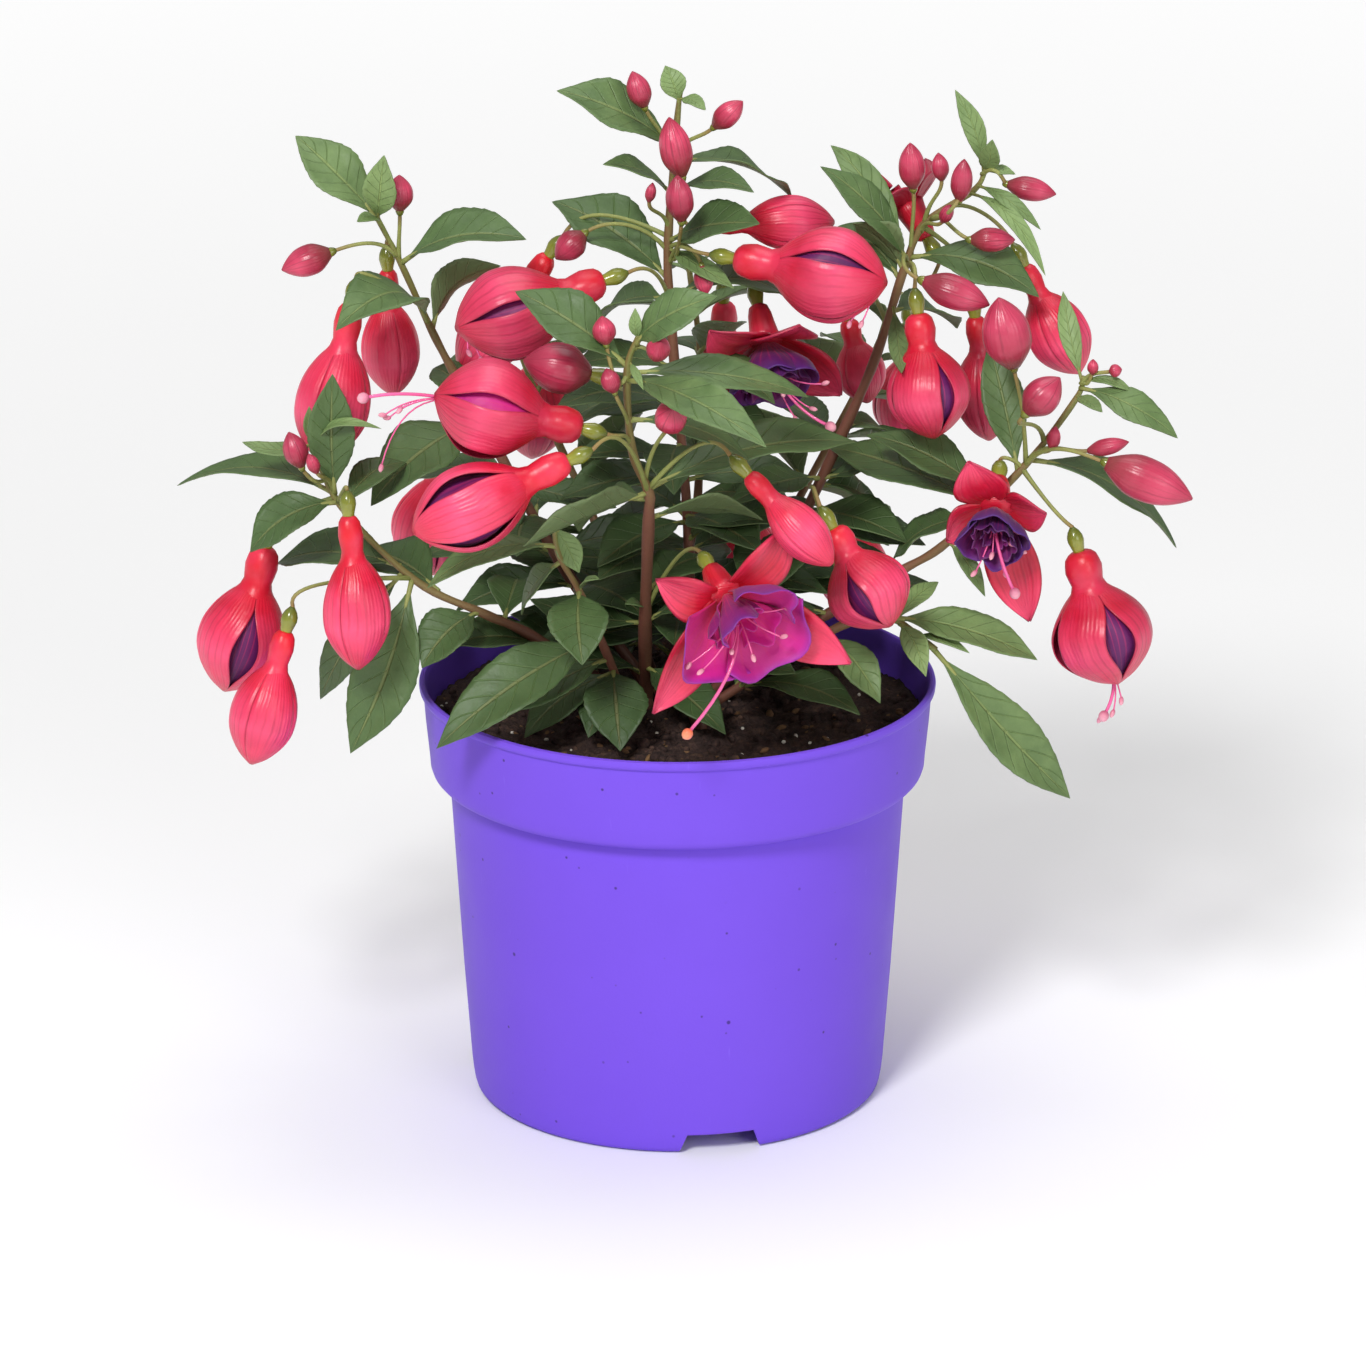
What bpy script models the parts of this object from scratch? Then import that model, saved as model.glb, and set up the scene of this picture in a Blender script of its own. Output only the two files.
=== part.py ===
"""A fuchsia in flower, standing in a round plastic grow pot.

The pot is turned from one profile, with drain holes in its raised floor and drainage slots in its foot.
Soil fills it to just under the rim. Eleven leafy shoots rise from the soil. Each shoot is one solid: its
stem, its leaves, its flower stalks and its smallest buds. Every flower and every larger bud is a solid of
its own at the end of its stalk. The organ positions below are in millimetres, +Z up, with the origin under
the pot's centre and -Y to the front.
"""

import math

import bpy
from mathutils import Matrix, Vector
from mathutils.bvhtree import BVHTree

MM = 0.001
GAP = 0.3 * MM  # between solids that touch on the real plant

# Pot
POT_HEIGHT = 108.0
RIM_RADIUS = 65.0
FOOT_RADIUS = 51.0
WALL = 1.2
FLOOR_UNDERSIDE = 5.2
POT_SIDES = 40
SLOT_COUNT, SLOT_FIRST_DEG = 3, 12.0
SLOT_TOP_WIDTH, SLOT_BOTTOM_WIDTH, SLOT_HEIGHT = 17.0, 20.6, 4.9
DRAIN_COUNT, DRAIN_RADIUS, DRAIN_CIRCLE = 6, 4.5, 34.0

# Soil
SOIL_TOP = 100.7
STEM_FOOT = 101.0

# The line on which a crowded piece may move back or forward without changing the front view.
DEPTH = Vector((0.0, 0.9455, -0.3256))

SHOOTS = {  # name: (root and tip radius of the stem, points along it from the soil up)
    "front": ((2.3, 0.8), [(-8, 0, 101), (-8, -16, 128), (-7, -36, 161), (-7, -40, 169),
        (-11, -46, 182), (-12, -54, 204), (-9, -58, 214)]),
    "crown": ((2.1, 0.7), [(-1, 12, 101), (3, 12, 135), (-2, 8, 204), (-2, 8, 224), (0, 8, 250),
        (1, 8, 259)]),
    "right_top": ((2.1, 0.7), [(7, 14, 101), (26, 14, 134), (43, 12, 172), (50, 8, 191), (56, 6, 212),
        (61, 6, 224), (73, 4, 233), (76, 4, 239)]),
    "right": ((2.1, 0.7), [(8, -2, 101), (26, -8, 120), (43, -10, 131), (56, -12, 140),
        (67, -14, 148), (86, -14, 168), (98, -12, 184), (100, -12, 190)]),
    "left_top": ((2.1, 0.7), [(-9, 10, 101), (-30, 12, 135), (-49, 8, 173), (-56, 2, 188),
        (-61, 0, 199), (-68, -2, 216), (-74, -4, 229)]),
    "left_low": ((2.1, 0.7), [(-14, -4, 101), (-29, -12, 118), (-39, -14, 125), (-49, -18, 131),
        (-65, -20, 140), (-83, -22, 160), (-90, -22, 177)]),
    "front_side": ((1.5, 0.7), [(-12, -14, 101), (-19, -30, 128), (-24, -38, 143), (-29, -42, 154),
        (-30, -44, 163)]),
    "right_low": ((1.8, 0.9), [(6, -16, 101), (30, -18, 121), (43, -20, 129), (53, -20, 130),
        (64, -24, 123)]),
}
FLOWERS = [  # name, shoot, kind, end of ovary, tip, width, where its stalk leaves the stem, a point on the stalk
    ("left_top", "crown", "parted", (-18, -14, 215), (-54, -22, 205), 22, (-2, 8, 204), (-6, -3, 212)),
    ("left_top_rear", "crown", "closed", (-32, 16, 213), (-54, 18, 182), 16, (-2, 8, 220),
        (-19, 14, 224)),
    ("crown_rear", "crown", "closed", (9, 16, 221), (39, 22, 220), 13, (-1, 8, 235), None),
    ("crown_front", "crown", "parted", (14, -12, 220), (51, -20, 216), 23, (-2, 8, 213), None),
    ("dark_centre", "crown", "open", (20, 13, 201), (22, 7, 193), 0, (-2, 8, 196), None),
    ("right_top_open", "right_top", "open", (62, 14, 218), (57, 18, 226), 0, (57, 6, 215), None),
    ("right_inner", "right_top", "parted", (59, -12, 206), (63, -18, 176), 20, (57, 6, 213),
        (58, -8, 211)),
    ("right_rear", "right_top", "closed", (74, 10, 199), (78, 10, 167), 15, (61, 6, 223), (71, 14, 210)),
    ("right_top", "right_top", "closed", (86, 10, 212), (100, 8, 185), 15, (66, 5, 227), None),
    ("right_deep", "right_top", "closed", (43, 28, 193), (48, 26, 172), 12, (52, 7, 198), (46, 20, 200)),
    ("front_left_upper", "front", "parted", (-23, -56, 190), (-58, -58, 199), 23, (-11, -46, 182), None),
    ("front_left_lower", "front", "parted", (-26, -66, 185), (-63, -72, 169), 20, (-7, -40, 168),
        (-13, -54, 184)),
    ("front_right_bud", "front", "closed", (17, -58, 179), (37, -66, 159), 11, (-7, -40, 170),
        (5, -50, 178)),
    ("front_open", "front", "open", (8, -57, 155), (12, -66, 151), 0, (-8, -18, 131), (0, -36, 149)),
    ("front_right", "right", "parted", (38, -38, 159), (52, -44, 136), 20, (42, -10, 131),
        (34, -26, 163)),
    ("right_open", "right", "open", (79, -20, 166), (78, -29, 161), 0, (85, -14, 167), None),
    ("right_outer", "right", "parted", (99, -22, 148), (109, -26, 115), 24, (85, -14, 167),
        (92, -20, 159)),
    ("left_wide", "left_top", "closed", (-80, -10, 208), (-88, -14, 169), 18, (-64, -1, 205),
        (-75, -7, 212)),
    ("left_narrow", "left_top", "closed", (-72, 14, 210), (-71, 16, 177), 14, (-68, -2, 215),
        (-71, 8, 217)),
    ("outer_left", "left_low", "parted", (-102, -12, 146), (-113, -14, 109), 21, (-84, -22, 162),
        (-96, -15, 154)),
    ("low_left", "left_low", "closed", (-96, -36, 132), (-105, -40, 99), 16, (-65, -20, 141),
        (-88, -30, 140)),
    ("low_left_front", "left_low", "closed", (-80, -40, 163), (-78, -44, 125), 16, (-83, -22, 161),
        (-81, -34, 166)),
    ("front_left_bud", "front", "closed", (-21, -44, 200), (-37, -46, 204), 12, (-12, -53, 201), None),
]
BUDS = [  # name, shoot, base, tip, width, where its stalk leaves the stem, own node
    ("e_up", "left_top", (-68, -4, 230), (-68, -4, 239), 6.8, (-69, -2, 217), True),
    ("e_left", "left_top", (-85, -6, 220), (-97, -8, 216), 7.4, (-69, -2, 218), True),
    ("b_left_dark", "crown", (-23, 4, 222), (-30, 2, 216), 6.9, (-2, 8, 216), False),
    ("b_upper_left", "crown", (-8, 4, 254), (-11, 4, 263), 5.9, (-1, 8, 238), False),
    ("b_front", "crown", (1, -6, 239), (-2, -6, 254), 7.8, (-2, 8, 229), True),
    ("b_front_low", "crown", (1, -10, 229), (0, -12, 241), 6.8, (-2, 8, 218), True),
    ("b_upper_right", "crown", (9, 4, 249), (16, 2, 256), 5.9, (-1, 8, 240), True),
    ("b_small", "crown", (-7, 0, 231), (-6, 0, 236), 2.7, (-2, 8, 222), False),
    ("b_red", "crown", (6, -4, 216), (7, -6, 209), 4.9, (-2, 8, 217), False),
    ("c_up", "right_top", (58, 2, 234), (57, 0, 246), 6.6, (58, 6, 216), True),
    ("c_up_small", "right_top", (65, 2, 236), (64, 2, 243), 4.4, (61, 6, 224), False),
    ("c_mid", "right_top", (69, -6, 233), (70, -8, 244), 5.4, (63, 6, 225), False),
    ("c_tiny", "right_top", (65, -4, 227), (67, -6, 232), 3.4, (60, 6, 222), False),
    ("c_right", "right_top", (81, 2, 235), (93, 0, 233), 5.9, (75, 4, 237), True),
    ("c_low_right", "right_top", (72, -2, 222), (83, -2, 222), 6.1, (63, 6, 225), False),
    ("c_front", "right_top", (60, -18, 216), (76, -22, 211), 8.5, (57, 6, 213), True),
    ("d_top", "right", (82, -24, 196), (78, -26, 214), 12.1, (86, -14, 168), True),
    ("d_facing", "right", (85, -30, 186), (93, -30, 195), 9.0, (90, -13, 174), True),
    ("d_small", "right", (92, -18, 173), (93, -18, 179), 3.4, (87, -14, 169), False),
    ("d_thin", "right", (101, -16, 172), (111, -18, 175), 4.2, (87, -14, 170), False),
    ("d_right", "right", (105, -26, 172), (126, -30, 164), 11.0, (85, -14, 168), True),
    ("d_tip_a", "right", (102, -14, 191), (102, -14, 195), 2.7, (100, -12, 189), False),
    ("d_tip_b", "right", (106, -15, 192), (109, -16, 193), 3.2, (99, -12, 188), False),
    ("a_left", "front", (-17, -56, 211), (-18, -56, 218), 5.5, (-12, -54, 203), False),
    ("a_facing", "front", (-5, -58, 209), (-4, -68, 215), 5.7, (-10, -57, 210), False),
    ("a_left_low", "front", (-15, -56, 199), (-17, -56, 205), 4.8, (-11, -46, 183), False),
    ("a_round", "front", (-2, -56, 191), (-1, -66, 198), 7.8, (-8, -41, 172), True),
    ("f_up", "left_low", (-92, -26, 171), (-95, -26, 180), 5.9, (-86, -22, 167), True),
    ("f_small", "left_low", (-88, -28, 170), (-90, -28, 175), 3.2, (-85, -22, 164), False),
]
LEAVES = [  # shoot, root on the stem, tip, width, lean of the upper face in degrees, arch
    ("left_top", (-74, -4, 229), (-94, 6, 246), 13, 60, 3),
    ("left_top", (-74, -4, 229), (-71, -14, 247), 8, 40, 2),
    ("left_top", (-74, -4, 229), (-78, -14, 230), 4, 50, 1),
    ("left_top", (-68, -2, 216), (-37, -8, 224), 18, 75, 4),
    ("left_top", (-61, 0, 198), (-44, 8, 213), 15, 130, 4),
    ("left_top", (-62, 0, 200), (-83, -26, 206), 17, 70, 5),
    ("left_top", (-51, 6, 177), (-61, 18, 183), 10, 60, 3),
    ("left_top", (-49, 8, 172), (-76, -12, 157), 18, 72, 5),
    ("crown", (-1, 8, 242), (-30, 2, 258), 16, 65, 4),
    ("crown", (-2, 8, 231), (-18, -4, 242), 9, 70, 2),
    ("crown", (-2, 8, 209), (-31, 22, 226), 18, 70, 3),
    ("crown", (0, 8, 254), (-3, 10, 263), 6, 25, 2),
    ("crown", (1, 8, 255), (7, 0, 254), 4, 60, 1),
    ("crown", (-1, 8, 239), (29, 26, 226), 16, 85, 4),
    ("crown", (-2, 8, 231), (19, -8, 235), 9, 70, 3),
    ("crown", (-2, 8, 219), (20, -16, 230), 13, 50, 2),
    ("crown", (-2, 8, 217), (14, -12, 212), 6, 60, 2),
    ("crown", (-2, 8, 204), (32, 24, 196), 16, 80, 4),
    ("crown", (-2, 8, 204), (-20, 24, 194), 13, 70, 3),
    ("crown", (0, 10, 175), (-30, -6, 180), 18, 80, 4),
    ("right_top", (57, 6, 214), (35, 4, 239), 10, 60, 4),
    ("right_top", (57, 6, 213), (38, 24, 239), 8, 50, 5),
    ("right_top", (56, 6, 209), (40, 22, 219), 13, 70, 3),
    ("right_top", (56, 6, 212), (43, 2, 225), 12, 120, 2),
    ("right_top", (75, 4, 238), (68, 6, 258), 5, 20, 2),
    ("right_top", (75, 4, 238), (77, -4, 248), 5, 30, 1),
    ("right_top", (75, 4, 239), (83, 0, 238), 3, 60, 1),
    ("right_top", (74, 4, 234), (89, -8, 226), 4, 60, 3),
    ("right_top", (72, 4, 232), (90, -14, 216), 4, 50, 6),
    ("right_top", (58, 6, 215), (89, -6, 209), 16, 68, 4),
    ("right_top", (54, 7, 203), (55, -32, 193), 6, 30, 3),
    ("right_top", (53, 7, 201), (70, 22, 192), 15, 80, 3),
    ("right_top", (32, 13, 146), (62, -12, 146), 13, 75, 4),
    ("right_top", (35, 13, 154), (52, 22, 143), 14, 75, 3),
    ("right_top", (42, 12, 169), (56, 24, 161), 13, 80, 3),
    ("right", (100, -12, 189), (95, -2, 209), 5, 20, 2),
    ("right", (84, -14, 166), (77, 0, 195), 10, 25, 2),
    ("right", (100, -12, 190), (112, -16, 187), 3, 60, 2),
    ("right", (99, -12, 187), (123, -20, 177), 9, 60, 4),
    ("right", (98, -12, 185), (104, -24, 184), 4, 60, 1),
    ("right", (87, -14, 169), (124, -8, 144), 18, 80, 5),
    ("right", (77, -14, 159), (47, -6, 174), 13, 70, 4),
    ("right", (76, -14, 157), (38, 10, 164), 18, 75, 4),
    ("right", (72, -14, 154), (54, -6, 140), 15, 75, 3),
    ("right", (67, -14, 148), (76, -24, 137), 4, 50, 2),
    ("front", (-12, -54, 205), (-39, -46, 221), 14, 60, 4),
    ("front", (-10, -57, 211), (9, -66, 226), 12, 50, 4),
    ("front", (-10, -58, 213), (-10, -60, 221), 3, 30, 1),
    ("front", (-11, -55, 206), (-8, -64, 202), 2, 50, 1),
    ("front", (-12, -53, 201), (21, -87, 195), 12, 60, 5),
    ("front", (-12, -54, 203), (32, -44, 195), 11, 65, 4),
    ("front", (-11, -49, 190), (18, -44, 179), 12, 75, 3),
    ("front", (-7, -40, 170), (44, -22, 175), 17, 75, 5),
    ("front", (-7, -40, 169), (-37, -60, 161), 20, 130, 3),
    ("front", (-7, -39, 167), (-24, -26, 154), 16, 85, 3),
    ("front", (-7, -36, 161), (21, -34, 160), 17, 120, 3),
    ("front", (-8, -18, 131), (-13, -24, 135), 3, 60, 1),
    ("front_side", (-16, -24, 117), (-14, -46, 104), 15, 55, 3),
    ("front_side", (-15, -20, 111), (-22, -37, 105), 12, 75, 3),
    ("front", (-8, -6, 112), (12, -32, 104), 12, 70, 3),
    ("left_low", (-84, -22, 163), (-84, -26, 195), 11, 15, 2),
    ("left_low", (-89, -22, 174), (-72, -30, 182), 3, 60, 6),
    ("left_low", (-89, -22, 176), (-107, -18, 175), 5, 65, 3),
    ("left_low", (-89, -22, 176), (-90, -24, 186), 3, 30, 1),
    ("left_low", (-84, -22, 163), (-125, 5, 156), 11, 75, 5),
    ("left_low", (-83, -22, 161), (-105, -26, 149), 13, 60, 4),
    ("left_low", (-82, -22, 159), (-67, -8, 167), 9, 70, 3),
    ("left_low", (-68, -20, 144), (-100, -4, 139), 19, 75, 4),
    ("left_low", (-59, -19, 137), (-79, 0, 141), 16, 75, 3),
    ("left_low", (-65, -20, 141), (-81, -30, 98), 15, 25, 4),
    ("left_low", (-67, -20, 143), (-90, -4, 103), 10, 40, 3),
    ("left_low", (-49, -18, 131), (-63, -30, 120), 13, 60, 3),
    ("front_side", (-29, -42, 156), (-61, -48, 148), 10, 70, 4),
    ("front_side", (-30, -44, 162), (-24, -56, 154), 6, 20, 2),
    ("front_side", (-24, -38, 143), (-19, -46, 149), 3, 60, 1),
    ("front_side", (-24, -38, 143), (-23, -58, 131), 14, 35, 2),
    ("front_side", (-19, -30, 128), (-59, -52, 108), 15, 50, 6),
    ("front_side", (-17, -26, 121), (-46, -42, 112), 10, 60, 3),
    ("front_side", (-16, -23, 116), (-38, -34, 104), 12, 70, 2),
    ("front_side", (-28, -41, 152), (-38, -30, 134), 10, 60, 2),
    ("right_low", (16, -17, 109), (29, -32, 120), 9, 70, 2),
    ("right_low", (17, -17, 110), (45, -38, 111), 12, 75, 3),
    ("right_low", (36, -19, 125), (50, -36, 113), 9, 50, 3),
    ("right_low", (53, -20, 130), (89, -28, 122), 12, 65, 4),
    ("right_low", (59, -22, 126), (72, -32, 125), 3, 60, 2),
    ("right_low", (55, -21, 129), (61, -38, 121), 6, 25, 2),
    ("right_low", (64, -24, 123), (98, -16, 81), 13, 40, 4),
    ("right_low", (54, -20, 129), (65, -10, 136), 5, 60, 2),
]
INNER_LEAVES = [  # darker leaves low in the middle of the bush
    ("crown", (1, 11, 160), (-26, -2, 166), 14, 80, 3),
    ("crown", (2, 12, 145), (-20, -12, 140), 14, 75, 3),
    ("crown", (2, 12, 140), (24, -10, 152), 15, 75, 3),
    ("crown", (0, 10, 182), (24, -8, 182), 13, 75, 3),
    ("crown", (0, 10, 186), (-26, 2, 188), 13, 75, 3),
    ("left_top", (-38, 10, 150), (-54, -10, 144), 14, 75, 3),
    ("left_top", (-25, 12, 128), (-56, 6, 124), 15, 75, 3),
    ("right_top", (36, 13, 156), (62, 4, 170), 14, 80, 3),
    ("right_top", (22, 14, 128), (50, 10, 122), 14, 80, 3),
    ("right_top", (30, 13, 142), (22, -18, 136), 13, 75, 3),
]

REAR_SHOOTS = {  # the side away from the front: name: (radii, stem points); their leaves come in pairs
    "rear_left": ((2.0, 0.8), [(-7, 19, 101), (-20, 38, 134), (-35, 54, 163), (-44, 64, 184)]),
    "rear_mid": ((2.0, 0.8), [(1, 21, 101), (5, 42, 138), (6, 58, 172), (3, 66, 196)]),
    "rear_right": ((2.0, 0.8), [(10, 21, 101), (27, 40, 134), (44, 55, 162), (54, 64, 182)]),
}
# place on the stem, leaf length
REAR_PAIRS = [(0.32, 32), (0.45, 35), (0.58, 33), (0.71, 30), (0.84, 23), (0.98, 13)]
REAR_FLOWERS = [
    ("rear_left_high", "rear_left", "closed", (-36, 76, 176), (-38, 79, 141), 18, (-41, 61, 178), None),
    ("rear_left_low", "rear_left", "parted", (-60, 60, 150), (-64, 64, 114), 22, (-33, 52, 159), None),
    ("rear_mid_high", "rear_mid", "closed", (12, 76, 184), (13, 79, 149), 18, (4, 64, 190), None),
    ("rear_mid_low", "rear_mid", "parted", (16, 75, 136), (17, 80, 101), 20, (6, 50, 156), None),
    ("rear_right_high", "rear_right", "parted", (60, 74, 178), (62, 77, 145), 20, (52, 62, 178), None),
    ("rear_right_low", "rear_right", "closed", (45, 72, 132), (46, 76, 99), 18, (38, 50, 152), None),
]

THICKET = {  # leaf pairs low on the stems: azimuth of the lowest pair in degrees, lengths from the soil up
    "crown": (15, [36, 34, 38, 36, 34, 32, 30, 26]),
    "left_top": (155, [32, 34, 36, 34, 32, 28]),
    "right_top": (35, [32, 34, 36, 34, 32, 28]),
    "left_low": (120, [28, 30, 28]),
    "right": (60, [28, 32, 30]),
    "front": (20, [24, 28, 30, 28]),
    "right_low": (70, [24, 26]),
    "rear_left": (60, [30, 34]),
    "rear_mid": (10, [32, 36]),
    "rear_right": (110, [30, 34]),
}
THICKET_FIRST, THICKET_STEP, THICKET_FRONT = 108.5, 9.5, -24.0

OPEN_SEPALS = {  # the four sepal tips of each open flower
    "dark_centre": [(8, -6, 200), (30, -8, 202), (41, 16, 177), (12, 12, 176)],
    "right_top_open": [(49, 20, 234), (65, 20, 234), (50, 8, 228), (62, 30, 234)],
    "front_open": [(-5, -62, 154), (27, -60, 168), (-6, -71, 123), (42, -63, 133)],
    "right_open": [(71, -34, 175), (90, -35, 162), (66, -29, 153), (87, -25, 131)],
}
SEPAL_WIDTH = 10.0
COROLLAS = {  # radius and length of the open petals below the sepals
    "dark_centre": (10.0, 12.0),
    "front_open": (14.0, 13.0),
    "right_open": (8.0, 12.0),
}

# Outlines: (place along the piece, share of the half width)
LEAF = [(0.0, 0.12), (0.30, 0.78), (0.55, 1.0), (0.80, 0.60)]
SEPAL = [(0.0, 0.40), (0.35, 0.95), (0.75, 0.75)]
# A closed flower: (place along it, share of the tube's radius, share of the largest radius)
FLOWER = [
    (0.0, 0.80, 0.0),
    (0.13, 1.05, 0.0),
    (0.28, 0.92, 0.0),
    (0.45, 0.0, 0.72),
    (0.65, 0.0, 1.0),
    (0.85, 0.0, 0.66),
    (1.0, 0.0, 0.05),
]
BUD = [(0.0, 0.45), (0.22, 0.88), (0.5, 1.0), (0.8, 0.6), (1.0, 0.06)]
OVARY = [(-6.0, 0.8), (-3.2, 1.9)]  # distance before the tube, radius

# What a crowded piece may try: a shift along DEPTH in mm, a share of its arch, a bend of its stalk in mm
SHIFTS = (0, 2, -2, 4, -4, 6, -6, 9, -9, 12, -12, 16, -16)
ARCHES = (1.0, 0.2, 1.8, -0.6)
LEAF_CHOICES = [(shift, bow, size) for size in (1.0, 0.8) for shift in SHIFTS for bow in ARCHES]
BENDS = [(0, 0)] + [(a, b) for b in (0, 4, -4, 8, -8) for a in (0, 3, -3, 6, -6, 10, -10, 14)]

COLOURS = {  # base colour, roughness
    "pot": ((0.25, 0.11, 0.87), 0.42),
    "soil": ((0.035, 0.018, 0.012), 0.95),
    "shoot": ((0.10, 0.19, 0.07), 0.55),
    "flower": ((0.75, 0.045, 0.10), 0.45),
    "bud": ((0.40, 0.06, 0.09), 0.45),
    "corolla": ((0.22, 0.01, 0.25), 0.5),
}


def place(point):
    return Vector(point) * MM


# ---------------------------------------------------------------- shapes as (vertices, faces)


def frames(points):
    """A right-handed pair across each point of a path, carried along it without twist."""
    ways = [(b - a).normalized() for a, b in zip(points, points[1:], strict=False)]
    tangents = [ways[0]] + [(a + b).normalized() for a, b in zip(ways, ways[1:], strict=False)] + [ways[-1]]
    side = tangents[0].cross(Vector((0.0, 0.0, 1.0)))
    if side.length < 0.1:
        side = tangents[0].cross(Vector((1.0, 0.0, 0.0)))
    pairs = []
    for tangent in tangents:
        side = (side - tangent * side.dot(tangent)).normalized()
        pairs.append((side, tangent.cross(side)))
    return pairs


def sweep(points, radii, sides):
    """A closed round body along a path. A radius under 0.2 mm at an end closes to a point."""
    verts, faces, rings = [], [], []
    for point, radius, (u, v) in zip(points, radii, frames(points), strict=True):
        if radius < 0.2 * MM and len(rings) in (0, len(points) - 1):
            rings.append([len(verts)])
            verts.append(point)
            continue
        rings.append(list(range(len(verts), len(verts) + sides)))
        for k in range(sides):
            angle = 2 * math.pi * k / sides
            verts.append(point + (u * math.cos(angle) + v * math.sin(angle)) * radius)
    faces = bridge(rings)
    return verts, faces


def bridge(rings):
    """Faces between consecutive rings of equal size, with a fan at a point and a cap at an open end."""
    faces = []
    for a, b in zip(rings, rings[1:], strict=False):
        n = max(len(a), len(b))
        for k in range(n):
            j = (k + 1) % n
            if len(a) == 1:
                faces.append((a[0], b[j], b[k]))
            elif len(b) == 1:
                faces.append((a[k], a[j], b[0]))
            else:
                faces.append((a[k], a[j], b[j], b[k]))
    if len(rings[0]) > 1:
        faces.append(tuple(reversed(rings[0])))
    if len(rings[-1]) > 1:
        faces.append(tuple(rings[-1]))
    return faces


def upper_face(lean_deg):
    """The way a blade's upper face looks: 0 is level to the front, 90 is straight up."""
    lean = math.radians(lean_deg)
    return Vector((0.0, -math.cos(lean), math.sin(lean)))


def blade(base, tip, width, normal, arch, outline, thick, fold=0.18, grow=0.0):
    """A thin folded body, thickest on its midrib and keen at its edges, as a leaf or a sepal is."""
    axis = tip - base
    along = axis.normalized()
    normal = normal - along * normal.dot(along)
    normal = normal.normalized() if normal.length > 0.05 else along.orthogonal().normalized()
    side = along.cross(normal)
    verts, rings = [], []
    for t, share in outline:
        centre = base + axis * t + normal * (4 * arch * t * (1 - t))
        half = max(width / 2 * share, 0.45 * MM) + grow
        lift = normal * (fold * half)
        rings.append(list(range(len(verts), len(verts) + 4)))
        verts += [
            centre - side * half + lift,
            centre - normal * (thick / 2 + grow),
            centre + side * half + lift,
            centre + normal * (thick / 2 + grow),
        ]
    rings.append([len(verts)])
    verts.append(tip + along * grow)
    return verts, bridge(rings)


def axis_path(start, tip, stations):
    """Points and radii along a straight axis. A station is a distance in metres with a radius."""
    way = (tip - start).normalized()
    return [start + way * s for s, _ in stations], [r for _, r in stations]


def flower_body(start, tip, width, grow=0.0):
    """Ovary, tube and the sepals closed round the petals, as one turned body."""
    length = (tip - start).length
    tube = max(0.37 * width / 2, 2.6 * MM)
    stations = [(s * MM, r * MM + grow) for s, r in OVARY]
    stations += [(t * length, (a * tube if a else b * width / 2) + grow) for t, a, b in FLOWER]
    stations[-1] = (stations[-1][0] + grow, 0.0)
    return sweep(*axis_path(start, tip, stations), 8)


def open_body(start, mouth, sepals, grow=0.0):
    """Ovary and tube of an open flower, and its four sepals, as a list of overlapping bodies."""
    length = (mouth - start).length
    stations = [(s * MM, r * MM + grow) for s, r in OVARY]
    stations += [(0.0, 2.8 * MM + grow), (0.5 * length, 3.4 * MM + grow), (length, 4.6 * MM + grow)]
    pieces = [sweep(*axis_path(start, mouth, stations), 8)]
    way = (mouth - start).normalized()
    inside = mouth - way * 1.6 * MM
    for tip in sepals:
        face = way.cross((tip - inside).cross(way)) * 0.4 - way
        pieces.append(
            blade(inside, tip, SEPAL_WIDTH * MM, -face, 2.0 * MM, SEPAL, 1.3 * MM, 0.10, grow)
        )
    return pieces


def corolla_body(mouth, way, radius, length, grow=0.0):
    """The open petals below the sepals: a flaring body, its rim waved in four lobes."""
    side = way.orthogonal().normalized()
    up = way.cross(side)
    first = mouth + way * 1.3 * MM
    verts, rings = [], []
    for t, share in ((0.0, 0.22), (0.35, 0.62), (0.75, 0.95), (1.0, 1.0), (0.8, 0.6)):
        rings.append(list(range(len(verts), len(verts) + 16)))
        for k in range(16):
            angle = 2 * math.pi * k / 16
            wave = 1.0 + 0.10 * share * math.cos(4 * angle)
            out = side * math.cos(angle) + up * math.sin(angle)
            verts.append(first + way * (t * length) + out * (radius * share * wave + grow))
    rings.append([len(verts)])
    verts.append(first + way * (0.7 * length))
    return verts, bridge(rings)


def bud_body(base, tip, width, grow=0.0):
    length = (tip - base).length
    stations = [(t * length, share * width / 2 + grow) for t, share in BUD]
    stations[-1] = (length + grow, 0.0)
    return sweep(*axis_path(base, tip, stations), 6)


def stalk_path(root, via, end, way):
    """Four points on a smooth arc from the stem to the ovary."""
    if via is None:
        reach = (end - root).length
        c1 = root + (end - root) * 0.25 + Vector((0.0, 0.0, 0.30 * reach))
        c2 = end - way * 0.35 * reach
    else:
        c1 = c2 = via * 2 - (root + end) / 2
    points = []
    for k in range(4):
        t = k / 3
        if via is None:
            p = root * (1 - t) ** 3 + c1 * 3 * t * (1 - t) ** 2 + c2 * 3 * t * t * (1 - t) + end * t**3
        else:
            p = root * (1 - t) ** 2 + c1 * 2 * t * (1 - t) + end * t * t
        points.append(p)
    return points


def stalk_body(points, grow=0.0):
    return sweep(points, [0.8 * MM + grow] + [0.6 * MM + grow] * 3, 4)


def stem_path(points):
    """A stem leaves the soil upright, then follows its own points."""
    return [points[0], points[0] + Vector((0, 0, 3 * MM))] + points[1:]


def nearest_on(points, place_near):
    """The point of a path nearest to a place."""
    best = None
    for a, b in zip(points, points[1:], strict=False):
        share = max(0.0, min(1.0, (place_near - a).dot(b - a) / (b - a).length_squared))
        found = a.lerp(b, share)
        if best is None or (found - place_near).length < (best - place_near).length:
            best = found
    return best


def stem_body(points, radii, grow=0.0):
    thick, thin = radii
    steps = len(points) - 1
    return sweep(points, [(thick + (thin - thick) * k / steps) * MM + grow for k in range(steps + 1)], 6)


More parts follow.
